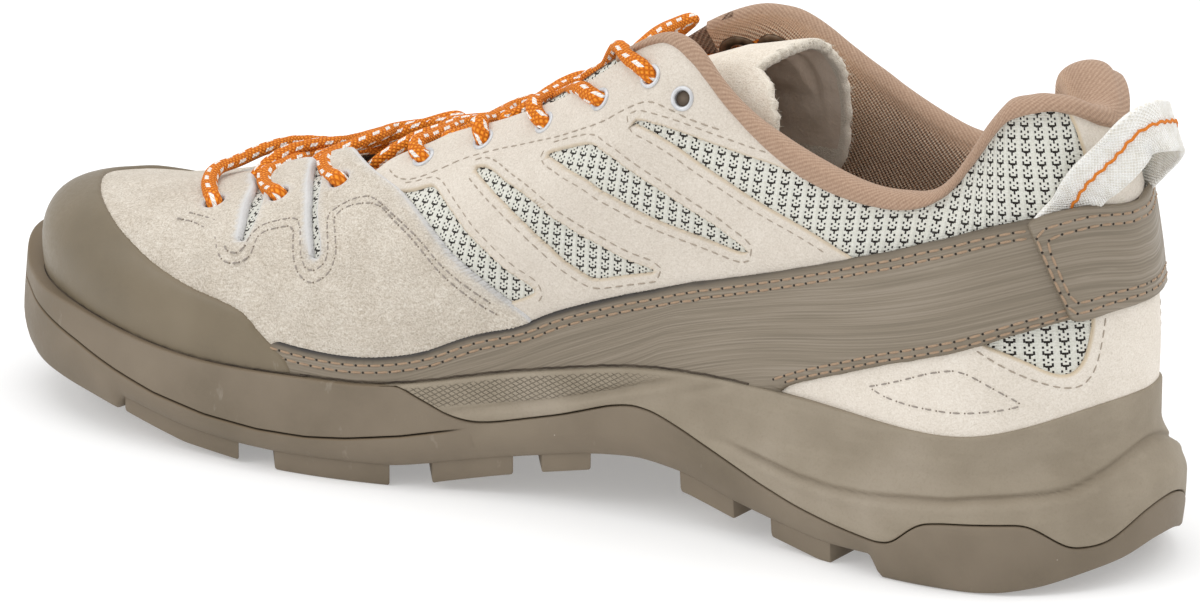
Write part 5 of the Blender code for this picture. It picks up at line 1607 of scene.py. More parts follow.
def band_uv(s, v, verts):
    a = np.abs(s)
    ss = np.linspace(0, 9, 361)
    even = line_at(BAND_TOP, ss)
    for _ in range(240):
        even[1:-1] = 0.25 * even[:-2] + 0.5 * even[1:-1] + 0.25 * even[2:]
    p = on_skin(ss, even)
    run = np.concatenate([[0], np.cumsum(np.linalg.norm(np.diff(p, axis=0), axis=1))])
    ruler = np.interp(a, ss, even)
    top = on_skin(s, ruler)
    flat = on_skin(s, v)
    down = np.linalg.norm(flat - top, axis=1) * np.sign(ruler - v)
    return np.stack([np.interp(a, ss, run) + np.where(s < 0, 400.0, 0.0), down], -1)


def make_band():
    def dark(s, v, d):
        top = line_at(BAND_TOP, s)
        near_top = smooth(1.0 - np.abs(top - v) / 0.03)
        return {"dark": near_top * (0.35 + 0.65 * smooth((np.abs(s) - 2.6) / 2.4))}

    for tag, sign in (("m", 1.0), ("l", -1.0)):
        top = [(s, v) for s, v in BAND_TOP if 1.0 < s]
        low = [(s, v) for s, v in BAND_LOW if 0.8 < s][::-1]
        low = [(8.40, -0.25)] + [(s, -0.25) for s in np.linspace(8.1, 3.6, 22)] + [(3.36, -0.25)] + low[2:]
        outline = np.array([(0.95, 0.66)] + top + low)
        outline[:, 0] *= sign
        if sign < 0:
            outline = outline[::-1]

        def relief(s, v):
            a = np.abs(s)
            n = len(s)
            d = -0.13 * near_line(a, v, ROW_1, 0.55) - 0.13 * near_line(a, v, ROW_2, 0.55)
            low_rows = [r for r in (LOW_1, LOW_2)]
            for r in low_rows:
                d -= 0.13 * near_line(a, v, r, 0.55)
            return d

        panel("side_band_%s" % tag, outline, [], BAND, top=BAND_H, base=-0.1, radius=0.7, step=1.5, rim=2.3, relief=relief,
              charts=dark, uv=band_uv, replaces=("side_band",) if sign > 0 else ())
    end = STRAP_END
    top = [(1.30, 0.668), (1.041, 0.664), (0.585, 0.688), (0.0, 0.708)]
    low = [(0.941, 0.303), (0.622, 0.313), (0.213, 0.326), (0.0, 0.327)]
    right = end[::-1]
    outline = [(0.0, 0.708)] + top[::-1][1:] + end + low
    outline = [(s, v) for s, v in outline] + [(-s, v) for s, v in outline][::-1][1:-1]

    def strap_uv(s, v, verts):
        uv = band_uv(s, v, verts)
        uv[:, 0] = np.where(s < 0, 400.0 - uv[:, 0], uv[:, 0])
        return uv + np.array([730.0, 37.0])

    def relief(s, v):
        a = np.abs(s)
        d = np.zeros(len(s))
        for r in STRAP_ROWS:
            d -= 0.13 * near_line(a, v, r, 0.55)
        return d

    def not_dark(s, v, d):
        return {"dark": np.zeros(len(s))}

    panel("heel_strap", outline, [], BAND, top=strap_height, base=0.3, radius=0.8, step=1.4, rim=0.5, relief=relief,
          charts=not_dark, uv=strap_uv, corners=2)


def strap_height(s, v):
    return 1.75 + 0.95 * smooth((np.abs(s) - 0.6) / 0.5)


def below(line, mm):
    """A charted line lowered over the surface."""
    p = resample(chaikin(line, False), 1.0, False)
    best = None
    for sign in (1, -1):
        q = shift(p, sign * mm, False)
        if best is None or q[:, 1].mean() < best[:, 1].mean():
            best = q
    return best


_top_line = [(s, v) for s, v in BAND_TOP if 1.3 < s < 8.3] + [(8.36, 0.129)]
ROW_1 = below(_top_line, 2.1)
ROW_2 = below(_top_line, 3.75)
_low_line = [(s, v) for s, v in BAND_LOW if 1.0 < s < 3.3]


def above(line, mm):
    p = resample(chaikin(line, False), 1.0, False)
    best = None
    for sign in (1, -1):
        q = shift(p, sign * mm, False)
        if best is None or q[:, 1].mean() > best[:, 1].mean():
            best = q
    return best


LOW_1 = above(_low_line, 1.1)
LOW_2 = above(_low_line, 2.6)
STRAP_ROWS = [
    [(0.0, 0.672), (0.585, 0.652), (1.041, 0.630), (1.345, 0.628), (1.300, 0.560), (1.235, 0.470), (1.172, 0.392), (1.115, 0.342),
     (0.941, 0.338), (0.622, 0.350), (0.213, 0.362), (0.0, 0.364)],
    [(0.0, 0.640), (0.585, 0.620), (1.000, 0.598), (1.262, 0.598), (1.215, 0.530), (1.160, 0.452), (1.105, 0.385), (1.070, 0.374),
     (0.941, 0.370), (0.622, 0.382), (0.213, 0.394), (0.0, 0.396)],
]


# how far the padded roll stands above the charted top edge, leans inwards
# and is filled out on its inner side
ROLL = [
    # station  lift  lean  fill
    (-6.45,  0.6, 0.0, 0.0), (-6.2, -0.5, 0.0, 0.0), (-5.8, -2.1, 0.0, 0.0), (-5.4, -0.9, 0.0, 0.0), (-5.0, 1.0, 0.0, 0.0), (-4.6, 1.5, 0.0, 0.0),
    (-4.2,  1.2, 0.0, 0.0), (-3.8, -0.5, 0.0, 0.0), (-3.4, -2.1, 0.0, 0.0), (-3.0, -1.5, 0.0, 0.0), (-2.6, 0.1, 1.0, 1.0), (-2.2, 2.2, 2.0, 2.4),
    (-1.8,  4.0, 2.7, 3.4), (-1.5, 4.4, 2.8, 3.6), (-1.2, 4.0, 2.7, 3.5), (-0.9, 3.4, 2.5, 3.3), (-0.6, 2.9, 2.2, 3.0), (-0.3, 2.7, 1.5, 2.5),
    (0.0,  2.1, 0.9, 2.0), (0.3, 2.2, 0.5, 1.4), (0.6, 2.3, 0.2, 1.0), (0.9, 1.5, 0.0, 0.8), (1.2, 2.2, 0.0, 0.6), (1.5, 4.8, 0.0, 0.5),
    (1.8,  4.1, 0.0, 0.4), (2.0, 1.8, 0.0, 0.2), (2.2, -0.8, 0.0, 0.0), (2.4, -1.7, 0.0, 0.0), (2.6, -1.1, 0.0, 0.0), (2.8, -0.2, 0.0, 0.0),
    (3.6,  0.0, 0.0, 0.0), (4.0, -0.5, 0.0, 0.0), (4.4, -1.1, 0.0, 0.0), (4.8, -1.5, 0.0, 0.0), (5.2, -1.7, 0.0, 0.0), (5.6, -0.7, 0.0, 0.0),
    (6.0,  0.3, 0.0, 0.0), (6.45, 0.3, 0.0, 0.0),
]


# how far the binding's lower seam climbs above its charted line at the heel
SEAM_RISE = [
    # station mm
    (0.0, 0.0), (0.3, 0.6), (0.6, 1.1), (0.9, 1.5), (1.2, 2.2), (1.4, 3.4), (1.55, 4.4), (1.7, 3.5), (1.9, 1.5), (2.1, 0.0),
]


def seam_rise(s):
    """Lift of the seam in millimetres and the direction it goes."""
    t = along(s)
    up = skin(t, np.ones(len(s))) - skin(t, np.full(len(s), 0.97))
    up /= np.linalg.norm(up, axis=1, keepdims=True)
    rise = line_at(SEAM_RISE, s)
    for _ in range(4):
        rise[1:-1] = 0.25 * rise[:-2] + 0.5 * rise[1:-1] + 0.25 * rise[2:]
    return rise, up


def make_collar():
    reach = 6.45
    ns = 360
    s = np.linspace(-reach, reach, ns)
    t = along(s)
    one = np.ones(ns)
    v_low = line_at(BIND_LOW, s) + 0.011 * smooth((1.9 - np.abs(s)) / 0.4)
    fade = smooth((reach - np.abs(s)) / 0.10)
    lift, lean, fill = (np.interp(s, column(ROLL, 0), column(ROLL, k)) for k in (1, 2, 3))
    for _ in range(6):
        for a in (lift, lean, fill):
            a[1:-1] = 0.25 * a[:-2] + 0.5 * a[1:-1] + 0.25 * a[2:]
    full = wall_thickness(t, one)
    bulge = 1.2 * (0.35 + 0.65 * fade)
    per = np.linalg.norm(skin(t, one) - skin(t, 0.9 * one), axis=1) / 0.1
    drop = np.minimum(0.40 * (full + bulge), 0.75 * ((1 - v_low) * per + lift) + 0.8) * (0.3 + 0.7 * fade)
    v_roll = 1.0 - drop / per
    up = skin(t, one) - skin(t, 0.97 * one)
    up /= np.linalg.norm(up, axis=1, keepdims=True)
    inward = -skin_normal(t, one)
    inward[:, 2] = 0
    inward /= np.linalg.norm(inward, axis=1, keepdims=True)
    v_low = np.minimum(v_low, v_roll - 0.6 / per)
    rows, shade, pale, twill = [], [], [], []
    seam = seam_rise(s)[0]
    for a in (0.0, 0.05, 0.14, 0.28, 0.46, 0.70, 1.0):
        v = v_low + (v_roll - v_low) * a
        h = -0.6 + (bulge + 0.6) * math.sqrt(max(0.0, 1 - (1 - min(a / 0.5, 1)) ** 2))
        rows.append(on_skin(s, v, h) + (a * lift + (1 - a) * seam)[:, None] * up + a * a * lean[:, None] * inward)
        shade.append(np.full(ns, 0.6 if a == 0.0 else 0.0))
        pale.append(np.zeros(ns))
        twill.append(np.zeros(ns))
    first = len(rows)
    outer = rows[-1]
    inner = on_skin(s, v_roll, -full - 0.4 * np.maximum(PAD(t), 0) / 5.0) + lift[:, None] * up + (lean + fill)[:, None] * inward
    mid, half = 0.5 * (outer + inner), 0.5 * (outer - inner)
    for phi in np.linspace(0, math.pi, 15)[1:-1]:
        rows.append(mid + half * math.cos(phi) + up * (drop * math.sin(phi))[:, None])
        shade.append(np.zeros(ns))
        # pale: painted light on the inner side of the roll
        pale.append(np.full(ns, 0.35 * smooth((phi / math.pi - 0.68) / 0.32)))
        twill.append(np.zeros(ns))
    for down in (0.0, 0.02, 0.05, 0.09, 0.14, 0.20, 0.27, 0.34, 0.42, 0.51, 0.60, 0.70, 0.80, 0.90):
        v = v_roll * (1 - down)
        w = wall_thickness(t, v) + 0.9 * np.maximum(PAD(t), 0) / 5.0 * bell(v - 0.90, 0.10)
        w = np.where(down < 0.01, full + 0.4 * np.maximum(PAD(t), 0) / 5.0, w)
        keep = 1.0 - smooth(down / 0.30)
        rows.append(on_skin(s, v, -w) + keep * (lift[:, None] * up + (lean + fill)[:, None] * inward))
        shade.append(0.85 * smooth((64.0 - rows[-1][:, 2]) / 28.0))
        # pale: painted light down the inner lining, fading out towards its foot
        pale.append(np.full(ns, 0.45 + 0.55 * smooth(down / 0.09)) * smooth((0.98 - down) / 0.4))
        twill.append(np.full(ns, smooth(down / 0.06)))
    rows.append(on_skin(s, np.full(ns, -0.2), -wall_thickness(t, 0 * one)))
    shade.append(np.full(ns, 0.7))
    pale.append(np.zeros(ns))
    twill.append(np.ones(ns))
    grid = np.stack(rows, 1)
    arc = np.concatenate([np.zeros((ns, 1)), np.cumsum(np.linalg.norm(np.diff(grid, axis=1), axis=2), axis=1)], 1)
    across = arc - arc[:, first + 6:first + 7]
    girth = np.linalg.norm(np.diff(grid[:, first + 6], axis=0), axis=1)
    girth = np.concatenate([[0], np.cumsum(girth)])
    girth -= girth[ns // 2]
    uv = np.stack([np.broadcast_to(np.abs(girth)[:, None], across.shape), across], -1)
    out = np.concatenate([skin_normal(t[:, None] + np.zeros((1, first)), np.ones((ns, first))),
                          np.zeros((ns, grid.shape[1] - first, 3))], 1)
    obj = piece("collar_lining", grid.reshape(-1, 3), grid_faces(ns, grid.shape[1]), LINING, (), uv.reshape(-1, 2),
                {"shade": np.stack(shade, 1).ravel(), "pale": np.stack(pale, 1).ravel(), "twill": np.stack(twill, 1).ravel()}, outward=out.reshape(-1, 3))
    # inside of the forefoot
    ns2 = 220
    s2 = np.linspace(6.25, 17.75, ns2)
    t2 = along(s2)
    cut = throat_top(s2)
    rows2 = [on_skin(s2, cut, np.full(ns2, -0.2)), on_skin(s2, cut, np.full(ns2, -1.4))]
    for v in (0.97, 0.9, 0.8, 0.68, 0.55, 0.40, 0.25, 0.1, -0.2):
        rows2.append(on_skin(s2, cut * v, -wall_thickness(t2, cut * v)))
    grid2 = np.stack(rows2, 1)
    n2 = np.zeros_like(grid2)
    n2[:, 5:] = -skin_normal(t2[:, None] + np.zeros((1, grid2.shape[1] - 5)), np.full((ns2, grid2.shape[1] - 5), 0.4))
    arc2 = np.concatenate([np.zeros((ns2, 1)), np.cumsum(np.linalg.norm(np.diff(grid2, axis=1), axis=2), axis=1)], 1)
    g2 = np.concatenate([[0], np.cumsum(np.linalg.norm(np.diff(grid2[:, 5], axis=0), axis=1))])
    uv2 = np.stack([np.broadcast_to(g2[:, None], arc2.shape), arc2], -1)
    piece("forefoot_lining", grid2.reshape(-1, 3), grid_faces(ns2, grid2.shape[1]), LINING, ("upper",), uv2.reshape(-1, 2),
          {"shade": np.full(ns2 * grid2.shape[1], 0.5), "pale": np.zeros(ns2 * grid2.shape[1]), "twill": np.ones(ns2 * grid2.shape[1])}, outward=n2.reshape(-1, 3))


# free end of the tongue: how far back it reaches across its width, medial positive
TONGUE_END = [
    # share  x
    (-1.0, 104.4), (-0.965, 101.6), (-0.92, 99.8), (-0.85, 98.4), (-0.75, 97.6), (-0.6, 97.6), (-0.4, 99.2), (-0.15, 101.0), (0.0, 101.0), (0.2, 102.5), (0.34, 104.5), (0.44, 105.8), (0.52, 103.0),
    (0.64, 99.5), (0.80, 97.0), (1.0, 94.0),
]


def make_tongue():
    nr, nq = 150, 81
    r = np.concatenate([np.linspace(0, 0.86, 90), np.linspace(0.86, 1.0, 61)[1:]])
    nr = len(r)
    q = np.linspace(-1, 1, nq)
    end = np.interp(q, column(TONGUE_END, 0), column(TONGUE_END, 1))
    fray = 0.35 * RNG.standard_normal(nq)
    x = 262.0 + (end[None, :] - 262.0) * r[:, None]
    x = x + (r[:, None] > 0.995) * fray[None, :]
    crown, half, drop = (np.interp(x, column(TONGUE, 0), column(TONGUE, k)) for k in (1, 2, 3))
    # the end of the tongue opens out a little and its crown flattens
    flare = smooth((118.0 - x) / 18.0)
    half = half + flare * np.where(q > 0, 2.4, 0.6)[None, :]
    drop = drop + 13.5 * smooth((138.0 - x) / 30.0) * (q < 0)[None, :]
    y = half * np.sign(q) * (1 - (1 - np.abs(q)) ** 1.5)
    z = crown - drop * np.abs(q) ** 2.6 + 0.6 * flare * (1 - np.abs(q))
    z = z + 0.5 * np.sin(x / 6.0 + 2.0 * q) * smooth((x - 120) / 20.0) * 0.4
    top = np.stack([x, y, z], -1)
    n = np.cross(np.gradient(top, axis=0), np.gradient(top, axis=1))
    n /= np.linalg.norm(n, axis=-1, keepdims=True)
    if n[:, nq // 2, 2].mean() < 0:
        n = -n
    thick = 2.6
    layers = [(top - thick * n, 1), (top - 0.6 * n, 0), (top, 0)]
    # edge roll: both long sides and the free end
    dist_q = (1 - np.abs(q))[None, :] * 26.0 + np.zeros((nr, 1))
    dist_r = (1 - r)[:, None] * 160.0 + np.zeros((1, nq))
    d = np.minimum(dist_q, dist_r)
    roll = 0.9 * (1 - np.sqrt(np.maximum(0, 1 - (1 - np.clip(d / 1.2, 0, 1)) ** 2)))
    outer = top - roll[..., None] * n
    # the padding inside ends in a soft step a finger's breadth from the free edge
    pad = 1.3 * smooth((d - 7.0) / 3.5) + 0.35 * bell(d - 6.0, 1.6)
    inner = top - (thick - roll[..., None] + pad[..., None]) * n
    verts = np.concatenate([outer.reshape(-1, 3), inner.reshape(-1, 3)])
    m = nr * nq
    faces = grid_faces(nr, nq) + [list(reversed(f)) for f in grid_faces(nr, nq, start=m)]
    which = [0] * ((nr - 1) * (nq - 1)) + [int(w) for w in (d[:-1, :-1] > 2.0).ravel()]
    rim = np.concatenate([(1 - smooth((d - 0.2) / 1.4)).ravel(), (1 - smooth((d - 1.0) / 2.2)).ravel()])
    for i in range(nr - 1):
        for j in (0, nq - 1):
            a, b = i * nq + j, (i + 1) * nq + j
            faces.append([a, b, m + b, m + a])
            which.append(0)
    for j in range(nq - 1):
        for i in (0, nr - 1):
            a, b = i * nq + j, i * nq + j + 1
            faces.append([a, b, m + b, m + a])
            which.append(0)
    inner_shade = (0.8 * smooth((inner[..., 0] - 114.0) / 34.0)).ravel()
    shade = np.concatenate([np.zeros(m), inner_shade])
    obj = piece("tongue_suede", verts, faces, [TONGUE_SUEDE, TONGUE_LINING], ("tongue",),
                chart_values={"rim": rim * 0.8, "shade": shade}, which=which, close=True)
    # loose fibres along the raw edge
    heap = Heap()
    edge_pts = []
    for j in range(nq - 1):
        for k in range(4):
            w = RNG.random()
            p = top[-1, j] * (1 - w) + top[-1, j + 1] * w
            nn = n[-1, j]
            p = p - nn * RNG.random() * 1.8
            edge_pts.append((p, np.array([-1.0, 0.0, 0.1])))
    for i in range(int(nr * 0.62), nr - 1):
        for j in (0, nq - 1):
            for k in range(2):
                w = RNG.random()
                p = top[i, j] * (1 - w) + top[i + 1, j] * w
                edge_pts.append((p - n[i, j] * RNG.random() * 2.0, np.array([-0.2, np.sign(q[j]) * 0.6, -0.7])))
    for p, direction in edge_pts:
        dvec = direction + 0.75 * RNG.standard_normal(3)
        dvec /= np.linalg.norm(dvec)
        length = 0.5 + 0.9 * RNG.random()
        side = np.cross(dvec, (0.31, 0.2, 0.93))
        side /= np.linalg.norm(side)
        other = np.cross(dvec, side)
        wd = 0.07
        tri = [p + wd * side, p - 0.5 * wd * side + 0.86 * wd * other, p - 0.5 * wd * side - 0.86 * wd * other, p + dvec * length + 0.25 * length * other]
        heap.add(np.array(tri), [[0, 1, 3], [1, 2, 3], [2, 0, 3], [0, 2, 1]])
    heap.make("tongue_fibres", FIBRE, "suede")
    return obj


FIBRE = plain_thread("suede_fibre", lin(226, 218, 203), 0.95)


def make_loop():
    def root(s, v, h):
        return tuple(on_skin(np.array([s]), np.array([v]), np.array([h]))[0])

    # both selvedges of the webbing, from under the strap up and over to the other side
    upper = [root(1.50, 0.58, 0.2), root(1.36, 0.655, 0.6), (24.2, 18.8, 90.9), (21.7, 17.3, 94.4), (19.0, 16.0, 98.1), (14.3, 13.5, 103.9),
             (10.1, 11.0, 109.2), (7.5, 5.5, 110.6), (7.9, -0.3, 109.0), (9.1, -6.2, 107.2), (13.4, -11.6, 103.2), (18.8, -15.6, 97.6),
             (24.0, -18.8, 90.8), root(-1.36, 0.655, 0.6), root(-1.50, 0.58, 0.2)]
    lower = [root(1.20, 0.46, -1.6), root(1.05, 0.530, -1.8), root(0.73, 0.600, -2.0), (16.7, 11.2, 88.2), (12.9, 12.1, 90.7), (8.3, 9.9, 95.1),
             (6.2, 7.2, 99.2), (5.3, 3.2, 100.2), (5.1, -0.8, 99.8), (5.9, -6.4, 98.6), (8.8, -10.4, 94.4), (13.0, -12.3, 90.4),
             root(-0.73, 0.600, -2.0), root(-1.05, 0.530, -1.8), root(-1.20, 0.46, -1.6)]
    # the free end bends a little towards the collar
    bend = (0, 0, 0, 0.1, 0.3, 0.6, 1, 1, 1, 1, 0.6, 0.3, 0, 0, 0)
    upper, lower = ([np.array(p) + k * np.array([1.3, 0.9, -0.7]) for p, k in zip(side, bend)] for side in (upper, lower))
    mid = catmull([0.5 * (np.array(a) + np.array(b)) for a, b in zip(upper, lower)], 0.55)
    knots = np.array([np.argmin(np.linalg.norm(mid - 0.5 * (np.array(a) + np.array(b)), axis=1)) for a, b in zip(upper, lower)], float)
    place = np.interp(np.arange(len(mid)), knots, np.arange(len(upper)))
    reach = np.array(upper) - np.array(lower)
    spread = np.stack([np.interp(place, np.arange(len(upper)), reach[:, k]) for k in range(3)], -1)
    path = mid
    for _ in range(14):
        path[1:-1] = 0.25 * path[:-2] + 0.5 * path[1:-1] + 0.25 * path[2:]
        spread[1:-1] = 0.25 * spread[:-2] + 0.5 * spread[1:-1] + 0.25 * spread[2:]
    t = np.gradient(path, axis=0)
    t /= np.linalg.norm(t, axis=1, keepdims=True)
    width = spread / np.linalg.norm(spread, axis=1, keepdims=True)
    width -= t * (width * t).sum(1, keepdims=True)
    width /= np.linalg.norm(width, axis=1, keepdims=True)
    face = np.cross(t, width)
    away = path - np.array([LOOP_AXIS_X, 0, 0])
    away[:, 2] = 0
    face *= np.sign((face * away).sum(1, keepdims=True))
    run = np.concatenate([[0], np.cumsum(np.linalg.norm(np.diff(path, axis=0), axis=1))])
    q = np.linspace(-0.5, 0.5, 25)
    profile = []
    for k in q:
        bulge = LOOP_T * 0.5 * math.sqrt(max(0.0, 1 - max(0.0, (abs(k) - 0.44) / 0.06) ** 2))
        profile.append((k, bulge * (1 - 0.06 * math.cos(k * 2 * math.pi * 8))))
    ring = [(k, b) for k, b in profile] + [(k, -b) for k, b in profile[::-1][1:-1]]
    grid = np.stack([path + width * (k * LOOP_W) + face * b for k, b in ring], 1)
    uv = np.stack([np.stack([run, np.full(len(run), k * LOOP_W)], -1) for k, b in ring], 1)
    m = len(ring)
    faces = grid_faces(len(path), m, wrap_cols=True)
    faces.append(list(range(m)))
    faces.append([(len(path) - 1) * m + j for j in range(m)][::-1])
    piece("pull_loop_webbing", grid.reshape(-1, 3), faces, WEBBING, ("pull_loop",), uv.reshape(-1, 2), close=True)
    wave = path + face * (0.5 * LOOP_T + 0.10) + width * (0.8 + 0.28 * np.sin(2 * math.pi * run / 3.1))[:, None]
    v, f, uv = tube(wave[4:-4:2], 0.36, 7)
    piece("loop_stitch", v, f, THREAD_ORANGE, (), uv)


def hole_point(k, far, h):
    s, v = HOLES[k - 1][:2]
    return on_skin(np.array([-s if far else s]), np.array([v]), np.array([h]))[0]


def edge_point(k, far, v, h, ds=0.0):
    s = HOLES[k - 1][0] + ds
    return on_skin(np.array([-s if far else s]), np.array([v]), np.array([h]))[0]


# how far the cords lie below their first charted height
LACE_LOW = [
    # x     mm
    (135.0, 0.0), (145.0, 0.7), (158.0, 1.2), (174.0, 1.4), (193.0, 1.4), (213.0, 1.3), (228.0, 1.4), (243.0, 1.2), (255.0, 1.0),
]


WASHER_BACK = (-0.25, -0.40)     # the far washers sit this much nearer the toe


def far_washer(k, h):
    """Point on the axis of a washer on the far side, h proud of the lining."""
    s, v = np.array([WASHER_BACK[k] - HOLES[7 + k][0]]), np.array([HOLES[7 + k][1]])
    return on_skin(s, v, -wall_thickness(along(s), v) - h)[0]


def make_laces():
    heap = Heap()
    total = 0.0
    for name, route in STRANDS.items():
        pts = [np.array(p) for p in route]
        for p in pts:
            p[2] -= np.interp(p[0], column(LACE_LOW, 0), column(LACE_LOW, 1)) * smooth((19.0 - p[1]) / 8.0)
        near = NEAR_HOLE[name]
        if name.startswith("over"):
            start = [hole_point(near, False, -3.0), hole_point(near, False, -0.6 if near > 3 else 0.5)]
            pts = start + pts[1:]
        else:
            if near > 4:
                # these come up well inside the near edge
                for p, back in zip(pts, (3.0, 1.6, 0.6)):
                    p[1] -= back
            start = [hole_point(near, False, -4.0 if near < 4 else -6.5)]
            first = pts[0]
            pts = start + [0.5 * (start[0] + first) - np.array([0, 0, 0.5 if near < 4 else 1.5])] + pts
        far, how = FAR_END[name]
        if name == "under_8":
            # over the far edge ahead of the collar, then back to the top eyelet
            pts += list(on_skin(-np.array([6.84, 6.82, 6.60, 6.25]), np.array([1.0, 0.945, 0.870, 0.845]), np.array([1.6, 2.4, 2.4, 2.4])))
            pts += [hole_point(far, True, 1.8), hole_point(far, True, -1.0), far_washer(0, -2.2), far_washer(0, -0.6), far_washer(0, 0.2)]
        elif how == "over":
            ahead = 0.36 if far == 7 else 0.0
            pts += [edge_point(far, True, 0.99, 1.2, ahead), edge_point(far, True, 0.5 * (1 + HOLES[far - 1][1]), 2.0, 0.6 * ahead),
                    hole_point(far, True, 1.8), hole_point(far, True, -2.6)]
        else:
            pts += [edge_point(far, True, 0.90 if far == 7 else 1.0, -3.4), hole_point(far, True, -4.2)]
        path = catmull(pts, 0.7)
        for _ in range(3):
            path[1:-1] = 0.25 * path[:-2] + 0.5 * path[1:-1] + 0.25 * path[2:]
        # a braided cord is slightly squashed where it turns over an edge
        v, f, uv = tube(path, 1.98, 16)
        total += uv[:, 1].max()
        core = np.repeat(path[:, 2], 17)
        flat = 1.0 - 0.27 * smooth((uv[:, 1] - 8.0) / 8.0)
        v[:, 2] = core + (v[:, 2] - core) * flat
        heap.add(v, f, uv + np.array([0.13 * len(heap.v), 1.7 * len(heap.v)]))
    obj = heap.make("lace_cord", CORD, "cord", ("laces",))
    return obj, total


def make_eyelets():
    number = 0
    plugs = Heap()
    for s, v, metal, laced in HOLES:
        if metal:
            number += 1
        for tag, sign in (("m", 1.0), ("l", -1.0)):
            c = on_skin(np.array([sign * s]), np.array([v]))[0]
            n = skin_normal(along(np.array([sign * s])), np.array([v]))[0]
            a = np.cross(n, (0.0, 0.0, 1.0))
            a /= np.linalg.norm(a)
            b = np.cross(n, a)
            ang = np.linspace(0, 2 * math.pi, 40, endpoint=False)
            ring = np.cos(ang)[:, None] * a + np.sin(ang)[:, None] * b
            if metal:
                profile = [(2.86, 0.18), (2.90, 0.32), (2.80, 0.50), (2.60, 0.64), (2.36, 0.70), (2.12, 0.64), (1.94, 0.50), (1.84, 0.26), (1.80, -0.9)]
                profile += [(2.05, -0.9), (2.15, 0.1)]
                verts = np.concatenate([c + r * ring + h * n for r, h in profile])
                faces = grid_faces(len(profile), 40, wrap_rows=True, wrap_cols=True)
                piece("eyelet_ring_%s%d" % (tag, number), verts, faces, METAL, ("eyelet_%s%d" % (tag, number),), close=True)
            r, depth = (1.95, -0.45) if metal else (2.5, -0.30)
            verts = np.concatenate([c + r * ring + depth * n, c + r * ring + (depth - 0.6) * n])
            faces = [list(range(40)), list(range(79, 39, -1))] + [[k, 40 + k, 40 + (k + 1) % 40, (k + 1) % 40] for k in range(40)]
            plugs.add(verts, faces)
    plugs.make("lace_holes", HOLE_DARK, "lining", values=("shade",))
    # washers on the inside of the collar, behind the top eyelets
    for k, (s, v, metal, laced) in enumerate(HOLES[7:], 1):
        for tag, sign in (("m", 1.0), ("l", -1.0)):
            if sign < 0:
                s = s - WASHER_BACK[k - 1]
            t = along(np.array([sign * s]))
            w = float(wall_thickness(t, np.array([v]))[0])
            c = on_skin(np.array([sign * s]), np.array([v]), np.array([-w]))[0]
            n = -skin_normal(t, np.array([v]))[0]
            a = np.cross(n, (0.0, 0.0, 1.0))
            a /= np.linalg.norm(a)
            b = np.cross(n, a)
            ang = np.linspace(0, 2 * math.pi, 36, endpoint=False)
            ring = np.cos(ang)[:, None] * a + np.sin(ang)[:, None] * b
            profile = [(4.7, -0.2), (4.75, 0.35), (4.4, 0.75), (3.6, 0.9), (2.7, 0.8), (2.2, 0.4), (2.1, -0.6)]
            verts = np.concatenate([c + r * ring + h * n for r, h in profile])
            faces = grid_faces(len(profile), 36, wrap_rows=True, wrap_cols=True)
            piece("washer_%s%d" % (tag, k), verts, faces, WASHER, (), close=True)


def washer_finish():
    f = Finish("washer_metal", 0.42, Metallic=0.85)
    haze = f.noise(2.0, detail=3.0)
    f.colour(f.ramp(haze, [(0.3, lin(92, 76, 62)), (0.7, lin(132, 114, 96))]))
    f.normal(f.bump(haze, 0.03))
    return f.mat


WASHER = washer_finish()


